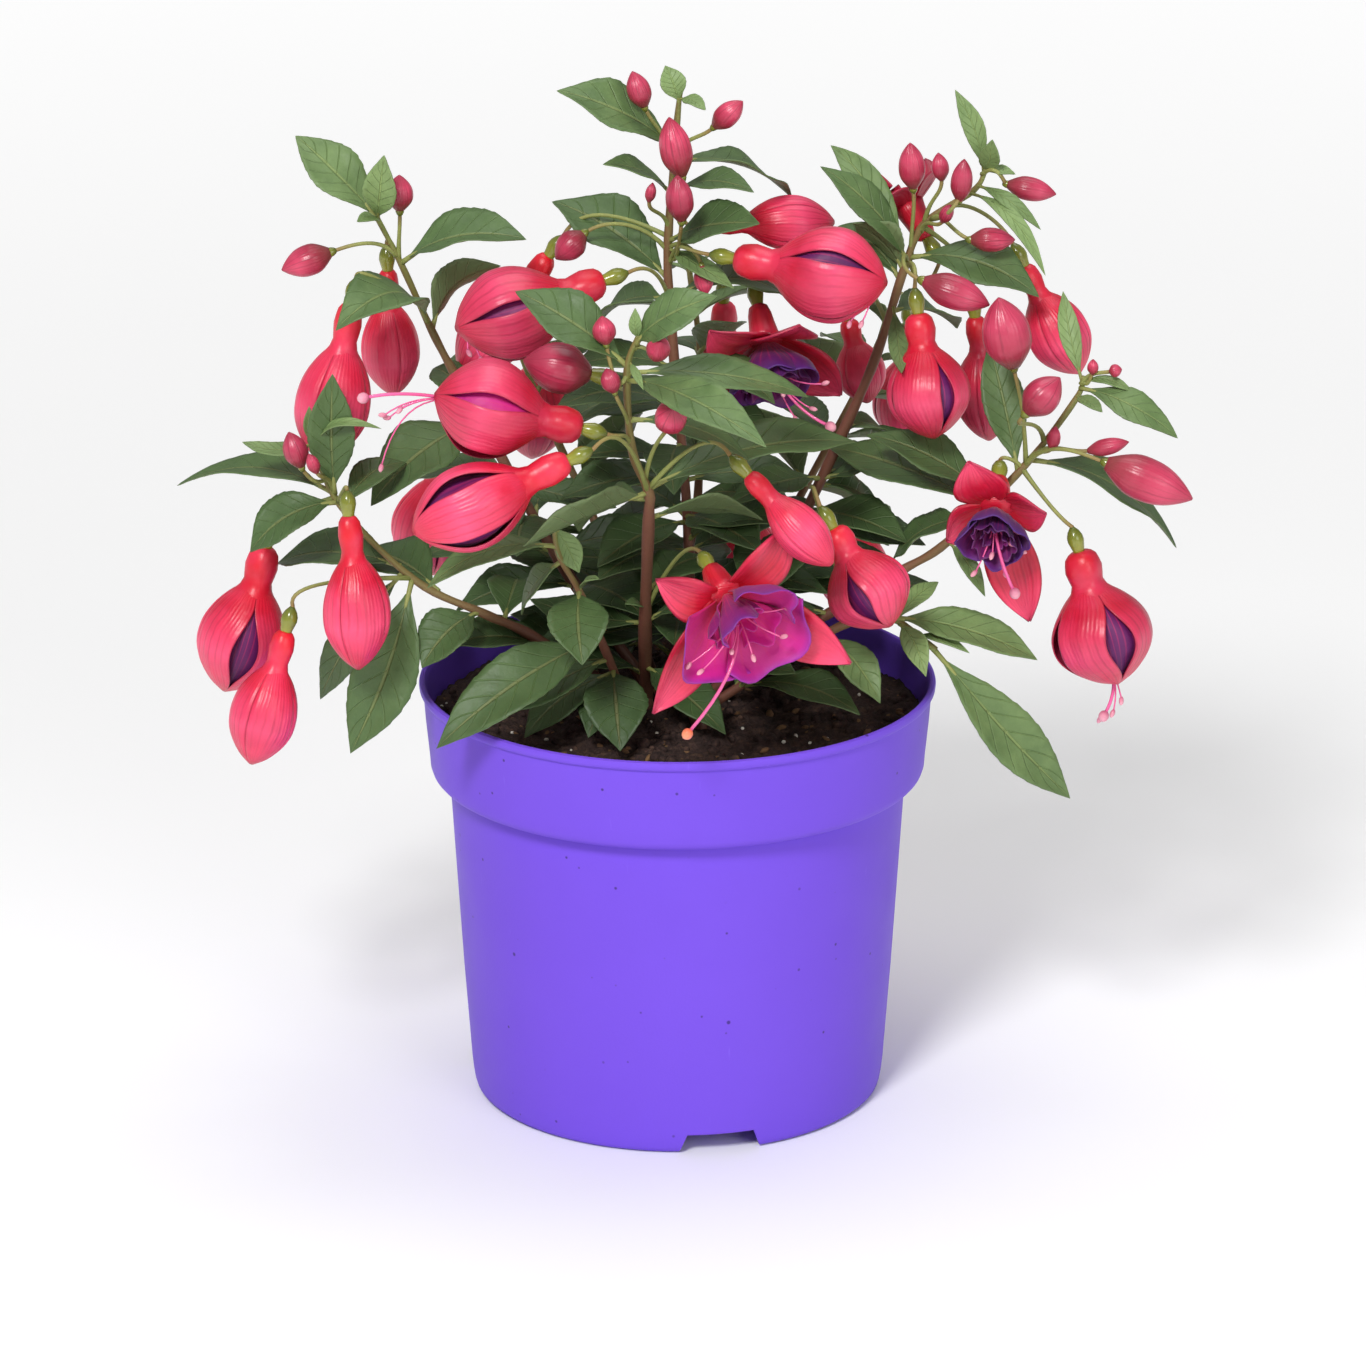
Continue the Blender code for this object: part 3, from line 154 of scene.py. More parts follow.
LEAVES = {  # shoot: root on the stem, tip, width, lean of the upper face in degrees, arch
    "left_top": [
        ((-74, -4, 229), (-94, 6, 246), 13, 60, 3), ((-74, -4, 229), (-71, -14, 247), 8, 40, 2),
        ((-74, -4, 229), (-78, -14, 230), 4, 50, 1), ((-68, -2, 216), (-37, -8, 224), 18, 75, 4),
        ((-61, 0, 198), (-44, 8, 213), 15, 130, 4), ((-62, 0, 200), (-83, -26, 206), 17, 70, 5),
        ((-51, 6, 177), (-61, 18, 183), 10, 60, 3), ((-49, 8, 172), (-76, -12, 157), 18, 72, 5),
        ((-38, 10, 150), (-54, -10, 144), 14, 75, 3), ((-25, 12, 128), (-56, 6, 124), 15, 75, 3),
    ],
    "crown": [
        ((-1, 8, 242), (-30, 2, 258), 16, 65, 4), ((-2, 8, 231), (-18, -4, 242), 9, 70, 2),
        ((-2, 8, 209), (-31, 22, 226), 18, 70, 3), ((0, 8, 254), (-3, 10, 263), 6, 25, 2),
        ((1, 8, 255), (7, 0, 254), 4, 60, 1), ((-1, 8, 239), (29, 26, 226), 16, 85, 4),
        ((-2, 8, 231), (19, -8, 235), 9, 70, 3), ((-2, 8, 219), (20, -16, 230), 13, 50, 2),
        ((-2, 8, 217), (14, -12, 212), 6, 60, 2), ((-2, 8, 204), (32, 24, 196), 16, 80, 4),
        ((-2, 8, 204), (-20, 24, 194), 13, 70, 3), ((0, 10, 175), (-30, -6, 180), 18, 80, 4),
        ((1, 11, 160), (-26, -2, 166), 14, 80, 3), ((2, 12, 145), (-20, -12, 140), 14, 75, 3),
        ((2, 12, 140), (24, -10, 152), 15, 75, 3), ((0, 10, 182), (24, -8, 182), 13, 75, 3),
        ((0, 10, 186), (-26, 2, 188), 13, 75, 3),
    ],
    "right_top": [
        ((57, 6, 214), (35, 4, 239), 10, 60, 4), ((57, 6, 213), (38, 24, 239), 8, 50, 5),
        ((56, 6, 209), (40, 22, 219), 13, 70, 3), ((56, 6, 212), (43, 2, 225), 12, 120, 2),
        ((75, 4, 238), (68, 6, 258), 5, 20, 2), ((75, 4, 238), (77, -4, 248), 5, 30, 1),
        ((75, 4, 239), (83, 0, 238), 3, 60, 1), ((74, 4, 234), (89, -8, 226), 4, 60, 3),
        ((72, 4, 232), (90, -14, 216), 4, 50, 6), ((58, 6, 215), (89, -6, 209), 16, 68, 4),
        ((54, 7, 203), (55, -32, 193), 6, 30, 3), ((53, 7, 201), (70, 22, 192), 15, 80, 3),
        ((32, 13, 146), (62, -12, 146), 13, 75, 4), ((35, 13, 154), (52, 22, 143), 14, 75, 3),
        ((42, 12, 169), (56, 24, 161), 13, 80, 3), ((36, 13, 156), (62, 4, 170), 14, 80, 3),
        ((22, 14, 128), (50, 10, 122), 14, 80, 3), ((30, 13, 142), (22, -18, 136), 13, 75, 3),
    ],
    "right": [
        ((100, -12, 189), (95, -2, 209), 5, 20, 2), ((84, -14, 166), (77, 0, 195), 10, 25, 2),
        ((100, -12, 190), (112, -16, 187), 3, 60, 2), ((99, -12, 187), (123, -20, 177), 9, 60, 4),
        ((98, -12, 185), (104, -24, 184), 4, 60, 1), ((87, -14, 169), (124, -8, 144), 18, 80, 5),
        ((77, -14, 159), (47, -6, 174), 13, 70, 4), ((76, -14, 157), (38, 10, 164), 18, 75, 4),
        ((72, -14, 154), (54, -6, 140), 15, 75, 3), ((67, -14, 148), (76, -24, 137), 4, 50, 2),
    ],
    "front": [
        ((-12, -54, 205), (-39, -46, 221), 14, 60, 4), ((-10, -57, 211), (9, -66, 226), 12, 50, 4),
        ((-10, -58, 213), (-10, -60, 221), 3, 30, 1), ((-11, -55, 206), (-8, -64, 202), 2, 50, 1),
        ((-12, -53, 201), (21, -87, 195), 12, 60, 5), ((-12, -54, 203), (32, -44, 195), 11, 65, 4),
        ((-11, -49, 190), (18, -44, 179), 12, 75, 3), ((-7, -40, 170), (44, -22, 175), 17, 75, 5),
        ((-7, -40, 169), (-37, -60, 161), 20, 130, 3), ((-7, -39, 167), (-24, -26, 154), 16, 85, 3),
        ((-7, -36, 161), (21, -34, 160), 17, 120, 3), ((-8, -18, 131), (-13, -24, 135), 3, 60, 1),
        ((-8, -6, 112), (12, -32, 104), 12, 70, 3),
    ],
    "front_side": [
        ((-16, -24, 117), (-14, -46, 104), 15, 55, 3), ((-15, -20, 111), (-22, -37, 105), 12, 75, 3),
        ((-29, -42, 156), (-61, -48, 148), 10, 70, 4), ((-30, -44, 162), (-24, -56, 154), 6, 20, 2),
        ((-24, -38, 143), (-19, -46, 149), 3, 60, 1), ((-24, -38, 143), (-23, -58, 131), 14, 35, 2),
        ((-19, -30, 128), (-59, -52, 108), 15, 50, 6), ((-17, -26, 121), (-46, -42, 112), 10, 60, 3),
        ((-16, -23, 116), (-38, -34, 104), 12, 70, 2), ((-28, -41, 152), (-38, -30, 134), 10, 60, 2),
    ],
    "left_low": [
        ((-84, -22, 163), (-84, -26, 195), 11, 15, 2), ((-89, -22, 174), (-72, -30, 182), 3, 60, 6),
        ((-89, -22, 176), (-107, -18, 175), 5, 65, 3), ((-89, -22, 176), (-90, -24, 186), 3, 30, 1),
        ((-84, -22, 163), (-125, 5, 156), 11, 75, 5), ((-83, -22, 161), (-105, -26, 149), 13, 60, 4),
        ((-82, -22, 159), (-67, -8, 167), 9, 70, 3), ((-68, -20, 144), (-100, -4, 139), 19, 75, 4),
        ((-59, -19, 137), (-79, 0, 141), 16, 75, 3), ((-65, -20, 141), (-81, -30, 98), 15, 25, 4),
        ((-67, -20, 143), (-90, -4, 103), 10, 40, 3), ((-49, -18, 131), (-63, -30, 120), 13, 60, 3),
    ],
    "right_low": [
        ((16, -17, 109), (29, -32, 120), 9, 70, 2), ((17, -17, 110), (45, -38, 111), 12, 75, 3),
        ((36, -19, 125), (50, -36, 113), 9, 50, 3), ((53, -20, 130), (89, -28, 122), 12, 65, 4),
        ((59, -22, 126), (72, -32, 125), 3, 60, 2), ((55, -21, 129), (61, -38, 121), 6, 25, 2),
        ((64, -24, 123), (98, -16, 81), 13, 40, 4), ((54, -20, 129), (65, -10, 136), 5, 60, 2),
    ],
}

REAR_SHOOTS = {  # the side away from the front: name: (radii, stem points); their leaves come in pairs
    "rear_left": ((2.0, 0.8), [(-7, 19, 101), (-20, 38, 134), (-35, 54, 163), (-44, 64, 184)]),
    "rear_mid": ((2.0, 0.8), [(1, 21, 101), (5, 42, 138), (6, 58, 172), (3, 66, 196)]),
    "rear_right": ((2.0, 0.8), [(10, 21, 101), (27, 40, 134), (44, 55, 162), (54, 64, 182)]),
}
# place on the stem, leaf length
REAR_PAIRS = [(0.32, 32), (0.45, 35), (0.58, 33), (0.71, 30), (0.84, 23), (0.98, 13)]
REAR_FLOWERS = [
    ("rear_left_high", "rear_left", "closed", (-36, 76, 176), (-38, 79, 141), 18, (-41, 61, 178), None),
    ("rear_left_low", "rear_left", "parted", (-60, 60, 150), (-64, 64, 114), 22, (-33, 52, 159), None),
    ("rear_mid_high", "rear_mid", "closed", (12, 76, 184), (13, 79, 149), 18, (4, 64, 190), None),
    ("rear_mid_low", "rear_mid", "parted", (16, 75, 136), (17, 80, 101), 20, (6, 50, 156), None),
    ("rear_right_high", "rear_right", "parted", (60, 74, 178), (62, 77, 145), 20, (52, 62, 178), None),
    ("rear_right_low", "rear_right", "closed", (45, 72, 132), (46, 76, 99), 18, (38, 50, 152), None),
]

THICKET = {  # leaf pairs low on the stems: azimuth of the lowest pair in degrees, lengths from the soil up
    "crown": (15, [36, 34, 38, 36, 34, 32, 30, 26]),
    "left_top": (155, [32, 34, 36, 34, 32, 28]),
    "right_top": (35, [32, 34, 36, 34, 32, 28]),
    "left_low": (120, [28, 30, 28]),
    "right": (60, [28, 32, 30]),
    "front": (20, [24, 28, 30, 28]),
    "right_low": (70, [24, 26]),
    "rear_left": (60, [30, 34]),
    "rear_mid": (10, [32, 36]),
    "rear_right": (110, [30, 34]),
}
THICKET_FIRST, THICKET_STEP, THICKET_FRONT = 108.5, 9.5, -24.0

OPEN_SEPALS = {  # the four sepal tips of each open flower
    "dark_centre": [(8, -6, 200), (30, -8, 202), (41, 16, 177), (12, 12, 176)],
    "right_top_open": [(49, 20, 234), (65, 20, 234), (50, 8, 228), (62, 30, 234)],
    "front_open": [(-5, -62, 154), (27, -60, 168), (-6, -71, 123), (42, -63, 133)],
    "right_open": [(71, -34, 175), (90, -35, 162), (66, -29, 153), (87, -25, 131)],
}
OPEN_WIDTHS = {"dark_centre": 17.6, "right_top_open": 13.0, "front_open": 14.0, "right_open": 13.8}

LEAF_OUTLINE = [(0.30, 0.78), (0.55, 1.0), (0.80, 0.60)]
SHIFTS = (0, 2, -2, 4, -4, 6, -6, 9, -9, 12, -12, 16, -16)
ARCHES = (1.0, 0.2, 1.8, -0.6)
BENDS = [(0, 0)] + [(a, b) for b in (0, 4, -4, 8, -8) for a in (0, 3, -3, 6, -6, 10, -10, 14)]
LEAF_CHOICES = [(s, b, size) for size in (1.0, 0.8) for s in SHIFTS for b in ARCHES]
GAP = 0.3 * MM


def place(point):
    return Vector(point) * MM


# ---------------------------------------------------------------- where the frame's organs are


def vertex_tree(node):
    """A search tree of a CAD node's vertices."""
    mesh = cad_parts[node].data
    tree = KDTree(len(mesh.vertices))
    for v in mesh.vertices:
        tree.insert(v.co, v.index)
    tree.balance()
    return tree


def coarse_blade(base, tip, width, normal, arch):
    """The corner points of a leaf's plain solid in the frame."""
    axis = tip - base
    along = axis.normalized()
    normal = normal - along * normal.dot(along)
    normal = normal.normalized() if normal.length > 0.05 else along.orthogonal().normalized()
    side = along.cross(normal)
    points = [tip]
    for t, share in LEAF_OUTLINE:
        centre = base + axis * t + normal * (4 * arch * t * (1 - t))
        half = max(width / 2 * share, 0.45 * MM)
        points += [centre - side * half + normal * 0.18 * half, centre + side * half + normal * 0.18 * half]
        points += [centre + normal * 0.4 * MM, centre - normal * 0.4 * MM]
    return points


def nearest_on(points, near):
    best = None
    for a, b in zip(points, points[1:], strict=False):
        share = max(0.0, min(1.0, (near - a).dot(b - a) / (b - a).length_squared))
        found = a.lerp(b, share)
        if best is None or (found - near).length < (best - near).length:
            best = found
    return best


def stem_path(points):
    return [points[0], points[0] + Vector((0, 0, 3 * MM))] + points[1:]


def stalk_path(root, via, end, way, steps):
    """Points on a smooth arc from the stem to the ovary."""
    reach = (end - root).length
    points = []
    for k in range(steps + 1):
        t = k / steps
        if via is None:
            c1 = root + (end - root) * 0.25 + Vector((0.0, 0.0, 0.30 * reach))
            c2 = end - way * 0.35 * reach
            p = root * (1 - t) ** 3 + c1 * 3 * t * (1 - t) ** 2 + c2 * 3 * t * t * (1 - t) + end * t**3
        else:
            c = via * 2 - (root + end) / 2
            p = root * (1 - t) ** 2 + c * 2 * t * (1 - t) + end * t * t
        points.append(p)
    return points


def point_on(points, share):
    at = share * (len(points) - 1)
    k = min(int(at), len(points) - 2)
    return points[k].lerp(points[k + 1], at - k), (points[k + 1] - points[k]).normalized()


def upper_face(lean_deg):
    lean = math.radians(lean_deg)
    return Vector((0.0, -math.cos(lean), math.sin(lean)))


def rear_leaves():
    """Opposite pairs, each pair turned a quarter from the one below it."""
    rows = []
    for shoot, (_, points) in REAR_SHOOTS.items():
        path = [place(p) for p in points]
        for k, (share, length) in enumerate(REAR_PAIRS):
            root, way = point_on(path, share)
            across = way.cross(UP).normalized()
            out = across if k % 2 == 0 else way.cross(across)
            for sign in (1, -1):
                reach = (out * sign * 0.92 + way * 0.30 + Vector((0, 0, -0.15))).normalized() * length * MM
                width, face = 0.42 * length * MM, Vector((0, 0.2, 1.0))
                rows.append((shoot, root, root + reach, width, face, 2 * MM))
    return rows


def leaf_rows():
    rows = [
        (shoot, place(root), place(tip), width * MM, upper_face(lean), arch * MM)
        for shoot, leaves in LEAVES.items()
        for root, tip, width, lean, arch in leaves
    ]
    return sorted(rows + rear_leaves(), key=lambda row: -row[3]) + thicket_leaves()


def at_height(path, height):
    for a, b in zip(path, path[1:], strict=False):
        if a.z <= height < b.z:
            return a.lerp(b, (height - a.z) / (b.z - a.z))
    return None


def thicket_leaves():
    """Pairs of leaves that fill the bush between the stems, each turned from the one below it."""
    rows = []
    stems = {**SHOOTS, **REAR_SHOOTS}
    for shoot, (first, lengths) in THICKET.items():
        path = [place(p) for p in stems[shoot][1]]
        for k, length in enumerate(lengths):
            root = at_height(path, (THICKET_FIRST + THICKET_STEP * k) * MM)
            for half in (0, 180):
                angle = math.radians(first + 72 * k + half)
                reach = Vector((math.cos(angle), math.sin(angle), 0.22 - 0.06 * k)) * length * MM
                if root and (root + reach).y > THICKET_FRONT * MM:
                    width, face = 0.44 * length * MM, Vector((0, -0.3, 1.0))
                    rows.append((shoot, root, root + reach, width, face, 3 * MM))
    return rows


# ---------------------------------------------------------------- surfaces


def smooth_path(points, per_span):
    """A Catmull-Rom curve through the points."""
    ends = [points[0] * 2 - points[1], *points, points[-1] * 2 - points[-2]]
    out = []
    for a, b, c, d in zip(ends, ends[1:], ends[2:], ends[3:], strict=False):
        for k in range(per_span):
            t = k / per_span
            square, cube = a * 2 - b * 5 + c * 4 - d, b * 3 - a - c * 3 + d
            out.append(0.5 * (b * 2 + (c - a) * t + square * t**2 + cube * t**3))
    return [*out, points[-1]]


def smooth_values(stations, at):
    """A smooth curve through (place, value) stations, read at an array of places."""
    xs = np.array([s[0] for s in stations])
    ys = np.array([s[1] for s in stations])
    slopes = np.gradient(ys, xs)
    at = np.clip(at, xs[0], xs[-1])
    k = np.clip(np.searchsorted(xs, at) - 1, 0, len(xs) - 2)
    h = xs[k + 1] - xs[k]
    t = (at - xs[k]) / h
    return (
        ys[k] * (2 * t**3 - 3 * t**2 + 1)
        + slopes[k] * h * (t**3 - 2 * t**2 + t)
        + ys[k + 1] * (3 * t**2 - 2 * t**3)
        + slopes[k + 1] * h * (t**3 - t**2)
    )


def unit(a):
    return a / np.maximum(np.linalg.norm(a, axis=-1, keepdims=True), 1e-12)


class Skin:
    """Collects sheets and tubes into one mesh. Each vertex keeps its place on its own organ."""

    def __init__(self):
        self.verts, self.faces, self.kinds = [], [], []
        self.marks = {"along": [], "across": [], "tone": [], "under": []}
        self.count = 0

    def _add(self, points, faces, kind, **marks):
        n = len(points)
        self.verts.append(points)
        self.faces.append(np.asarray(faces) + self.count)
        self.kinds.append(np.full(len(faces), kind))
        for name, rows in self.marks.items():
            rows.append(np.broadcast_to(marks.get(name, 0.0), (n,)).astype(np.float32))
        self.count += n

    def sheet(self, points, along, across, tone, kind, thick):
        """A thin closed sheet from an (n, m, 3) grid. Its upper side is where rows x columns point."""
        n, m = points.shape[:2]
        normal = unit(np.cross(np.gradient(points, axis=0), np.gradient(points, axis=1)))
        thick = np.broadcast_to(thick, (n, m))[..., None]
        half = normal * thick / 2
        both = np.concatenate([(points + half).reshape(-1, 3), (points - half).reshape(-1, 3)])
        ids = np.arange(n * m).reshape(n, m)
        quads = np.stack([ids[:-1, :-1], ids[1:, :-1], ids[1:, 1:], ids[:-1, 1:]], -1).reshape(-1, 4)
        loop = np.concatenate([ids[0, :-1], ids[:-1, -1], ids[-1, :0:-1], ids[:0:-1, 0]])
        nxt = np.roll(loop, -1)
        rim = np.stack([loop, nxt, nxt + n * m, loop + n * m], -1)
        faces = np.concatenate([quads, quads[:, ::-1] + n * m, rim])
        marks = {"under": np.repeat([0.0, 1.0], n * m)}
        for name, value in (("along", along), ("across", across), ("tone", tone)):
            marks[name] = np.tile(np.broadcast_to(value, (n, m)).reshape(-1), 2)
        self._add(both, faces, kind, **marks)

    def tube(self, points, radii, sides, tone, kind, along=(0.0, 1.0)):
        """A round closed body along a path."""
        points = [Vector(p) for p in points]
        ways = [(b - a).normalized() for a, b in zip(points, points[1:], strict=False)]
        tangents = [ways[0], *[(a + b).normalized() for a, b in zip(ways, ways[1:], strict=False)], ways[-1]]
        side = tangents[0].cross(UP)
        if side.length < 0.1:
            side = tangents[0].cross(Vector((1.0, 0.0, 0.0)))
        rings = []
        angles = np.arange(sides) * 2 * math.pi / sides
        for point, radius, tangent in zip(points, radii, tangents, strict=True):
            side = (side - tangent * side.dot(tangent)).normalized()
            other = tangent.cross(side)
            rings.append(
                np.array(point)
                + radius * (np.outer(np.cos(angles), side) + np.outer(np.sin(angles), other))
            )
        turn = np.sin(angles)
        run = np.linspace(along[0], along[1], len(points))[:, None]
        self.rings(np.array(rings), points[0], points[-1], kind, run, turn, tone)

    def rings(self, rings, first, last, kind, along, across, tone, under=0.0):
        """A closed body from an (n, m, 3) stack of rings and the points that close its two ends."""
        n, m = rings.shape[:2]
        ids = np.arange(n * m).reshape(n, m)
        nxt = np.roll(ids, -1, axis=1)
        faces = np.stack([ids[:-1], nxt[:-1], nxt[1:], ids[1:]], -1).reshape(-1, 4)
        lowest = np.stack([nxt[0], ids[0], np.full(m, n * m), np.full(m, n * m)], -1)
        highest = np.stack([ids[-1], nxt[-1], np.full(m, n * m + 1), np.full(m, n * m + 1)], -1)
        verts = np.concatenate([rings.reshape(-1, 3), [tuple(first)], [tuple(last)]])
        marks = {}
        for name, value in (("along", along), ("across", across), ("tone", tone)):
            value = np.broadcast_to(value, (n, m))
            marks[name] = np.concatenate([value.reshape(-1), [value[0].mean(), value[-1].mean()]])
        self._add(verts, np.concatenate([faces, lowest, highest]), kind, under=under, **marks)

    def lump(self, centre, way, length, radius, tone, kind, sides=8, rings=7):
        """An egg along a direction."""
        t = np.linspace(0.02, 0.98, rings)
        points = [Vector(centre) + Vector(way) * float(length * (s - 0.5)) for s in t]
        self.tube(points, radius * np.sqrt(np.clip(1 - (2 * t - 1) ** 2, 0, 1)), sides, tone, kind)

    def build(self, name, materials):
        verts = np.concatenate(self.verts)
        mesh = bpy.data.meshes.new(name)
        faces = [tuple(dict.fromkeys(f)) for f in np.concatenate(self.faces).tolist()]
        mesh.from_pydata(verts.tolist(), [], faces)
        for mark, rows in self.marks.items():
            layer = mesh.attributes.new(mark, "FLOAT", "POINT")
            layer.data.foreach_set("value", np.concatenate(rows))
        used = sorted(set(np.concatenate(self.kinds).tolist()))
        slots = {kind: k for k, kind in enumerate(used)}
        for kind in used:
            mesh.materials.append(materials[kind])
        index = np.array([slots[k] for k in np.concatenate(self.kinds).tolist()], dtype=np.int32)
        mesh.polygons.foreach_set("material_index", index)
        mesh.shade_smooth()
        mesh.update()
        obj = bpy.data.objects.new(name, mesh)
        bpy.context.scene.collection.objects.link(obj)
        return obj


def finish_piece(obj, slot, *nodes):
    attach(obj, "root")
    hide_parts(*nodes)


# ---------------------------------------------------------------- materials


class Graph:
    """Short names for the nodes of one material."""

    def __init__(self, name):
        self.material = bpy.data.materials.new(name)
        self.material.use_nodes = True
        self.tree = self.material.node_tree
        self.shader = self.tree.nodes["Principled BSDF"]

    def node(self, kind, **fields):
        made = self.tree.nodes.new(kind)
        for key, value in fields.items():
            setattr(made, key, value)
        return made

    def link(self, value, socket):
        if isinstance(value, (int, float)):
            socket.default_value = value
        elif isinstance(value, tuple):
            socket.default_value = (*value, 1.0)[: len(socket.default_value)]
        else:
            self.tree.links.new(value, socket)

    def mark(self, name):
        return self.node("ShaderNodeAttribute", attribute_name=name).outputs["Fac"]

    def math(self, operation, a, b=0.0, c=0.0):
        made = self.node("ShaderNodeMath", operation=operation)
        for value, socket in zip((a, b, c), made.inputs, strict=False):
            self.link(value, socket)
        return made.outputs[0]

    def times(self, a, b):
        return self.math("MULTIPLY", a, b)

    def plus(self, a, b):
        return self.math("ADD", a, b)

    def step(self, value, low, high):
        """0 below low, 1 above high, smooth between."""
        made = self.node("ShaderNodeMapRange", interpolation_type="SMOOTHSTEP")
        self.link(value, made.inputs["Value"])
        made.inputs["From Min"].default_value = low
        made.inputs["From Max"].default_value = high
        return made.outputs["Result"]

    def mix(self, share, a, b):
        made = self.node("ShaderNodeMix", data_type="RGBA")
        self.link(share, made.inputs["Factor"])
        self.link(a, made.inputs["A"])
        self.link(b, made.inputs["B"])
        return made.outputs["Result"]

    def ramp(self, value, *stops):
        """A run of colours: each stop is its place, then the colour as 0 to 255 on screen."""
        made = self.node("ShaderNodeValToRGB")
        elements = made.color_ramp.elements
        while len(elements) < len(stops):
            elements.new(0.5)
        for element, (at, *colour) in zip(elements, stops, strict=True):
            element.position = at
            element.color = (*srgb(*colour), 1.0)
        self.link(value, made.inputs["Fac"])
        return made.outputs["Color"]

    def spot(self):
        return self.node("ShaderNodeTexCoord").outputs["Object"]

    def noise(self, scale, detail=3.0, rough=0.5, at=None):
        made = self.node("ShaderNodeTexNoise")
        self.link(at or self.spot(), made.inputs["Vector"])
        made.inputs["Scale"].default_value = scale
        made.inputs["Detail"].default_value = detail
        made.inputs["Roughness"].default_value = rough
        return made.outputs["Fac"]

    def speck(self, scale):
        """The distance to the nearest of many scattered points, and three chances of that point."""
        made = self.node("ShaderNodeTexVoronoi")
        self.link(self.spot(), made.inputs["Vector"])
        made.inputs["Scale"].default_value = scale
        parts = self.node("ShaderNodeSeparateColor")
        self.link(made.outputs["Color"], parts.inputs[0])
        return made.outputs["Distance"], parts.outputs

    def bump(self, height, distance, strength=1.0, onto=None):
        made = self.node("ShaderNodeBump")
        made.inputs["Distance"].default_value = distance
        made.inputs["Strength"].default_value = strength
        self.link(height, made.inputs["Height"])
        if onto:
            self.link(onto, made.inputs["Normal"])
        return made.outputs["Normal"]

    def finish(self, colour, roughness, normal=None, **sockets):
        self.link(colour, self.shader.inputs["Base Color"])
        self.link(roughness, self.shader.inputs["Roughness"])
        if normal:
            self.link(normal, self.shader.inputs["Normal"])
        for name, value in sockets.items():
            self.link(value, self.shader.inputs[name.replace("_", " ")])
        return self.material


def srgb(r, g, b):
    """A colour given as 0 to 255 on screen, as the shader wants it."""
    return tuple((c / 255 / 12.92) if c <= 10 else ((c / 255 + 0.055) / 1.055) ** 2.4 for c in (r, g, b))


SIDE_VEINS, VEIN_SLOPE = 8.0, 1.5  # how many to a leaf, and how far they sweep forward


def leaf_material():
    g = Graph("leaf")
    along, across, tone, under = (g.mark(n) for n in ("along", "across", "tone", "under"))
    side = g.math("ABSOLUTE", across)
    # Side veins sweep forward from the midrib, and the blade's quilting runs with them.
    phase = g.math("SUBTRACT", g.times(along, SIDE_VEINS), g.times(side, VEIN_SLOPE))
    wave = g.math("ABSOLUTE", g.math("SUBTRACT", g.math("FRACT", phase), 0.5))
    vein = g.times(g.step(wave, 0.43, 0.5), g.step(side, 1.0, 0.75))
    midrib = g.step(side, 0.085, 0.03)
    blotch = g.noise(160.0, 4.0, 0.6)
    tint = g.plus(g.times(tone, 0.75), g.times(blotch, 0.35))
    green = g.ramp(tint, (0.10, 36, 52, 26), (0.38, 62, 84, 48), (0.64, 82, 106, 62), (0.95, 124, 148, 92))
    green = g.mix(g.times(vein, 0.30), green, srgb(116, 142, 84))
    green = g.mix(g.times(midrib, 0.34), green, g.mix(tone, srgb(134, 108, 80), srgb(150, 172, 98)))
    below = g.mix(g.times(vein, 0.5), srgb(104, 122, 80), srgb(134, 148, 100))
    colour = g.mix(under, green, below)
    height = g.math("SUBTRACT", 1.0, g.plus(g.times(vein, 0.7), midrib))
    normal = g.bump(height, 0.0008, 0.6)
    normal = g.bump(g.noise(420.0, 3.0), 0.0005, 0.5, normal)
    rough = g.plus(0.40, g.times(blotch, 0.16))
    return g.finish(colour, rough, normal, Specular_IOR_Level=0.36)


def stem_material():
    g = Graph("stem")
    along, across, tone = g.mark("along"), g.mark("across"), g.mark("tone")
    base = g.ramp(
        along, (0.0, 92, 58, 44), (0.45, 128, 84, 66), (0.8, 126, 122, 66), (1.0, 132, 148, 76)
    )
    sunny = g.times(g.step(across, -0.2, 0.8), 0.35)
    base = g.mix(sunny, base, srgb(134, 70, 62))
    stalk = g.ramp(along, (0.0, 138, 150, 82), (0.6, 152, 158, 90), (1.0, 150, 112, 70))
    colour = g.mix(g.step(tone, 0.45, 0.55), base, stalk)
    fine = g.noise(700.0, 4.0, 0.6)
    colour = g.mix(g.times(fine, 0.35), colour, srgb(86, 60, 44))
    return g.finish(colour, 0.5, g.bump(fine, 0.0003, 0.5), Specular_IOR_Level=0.35)


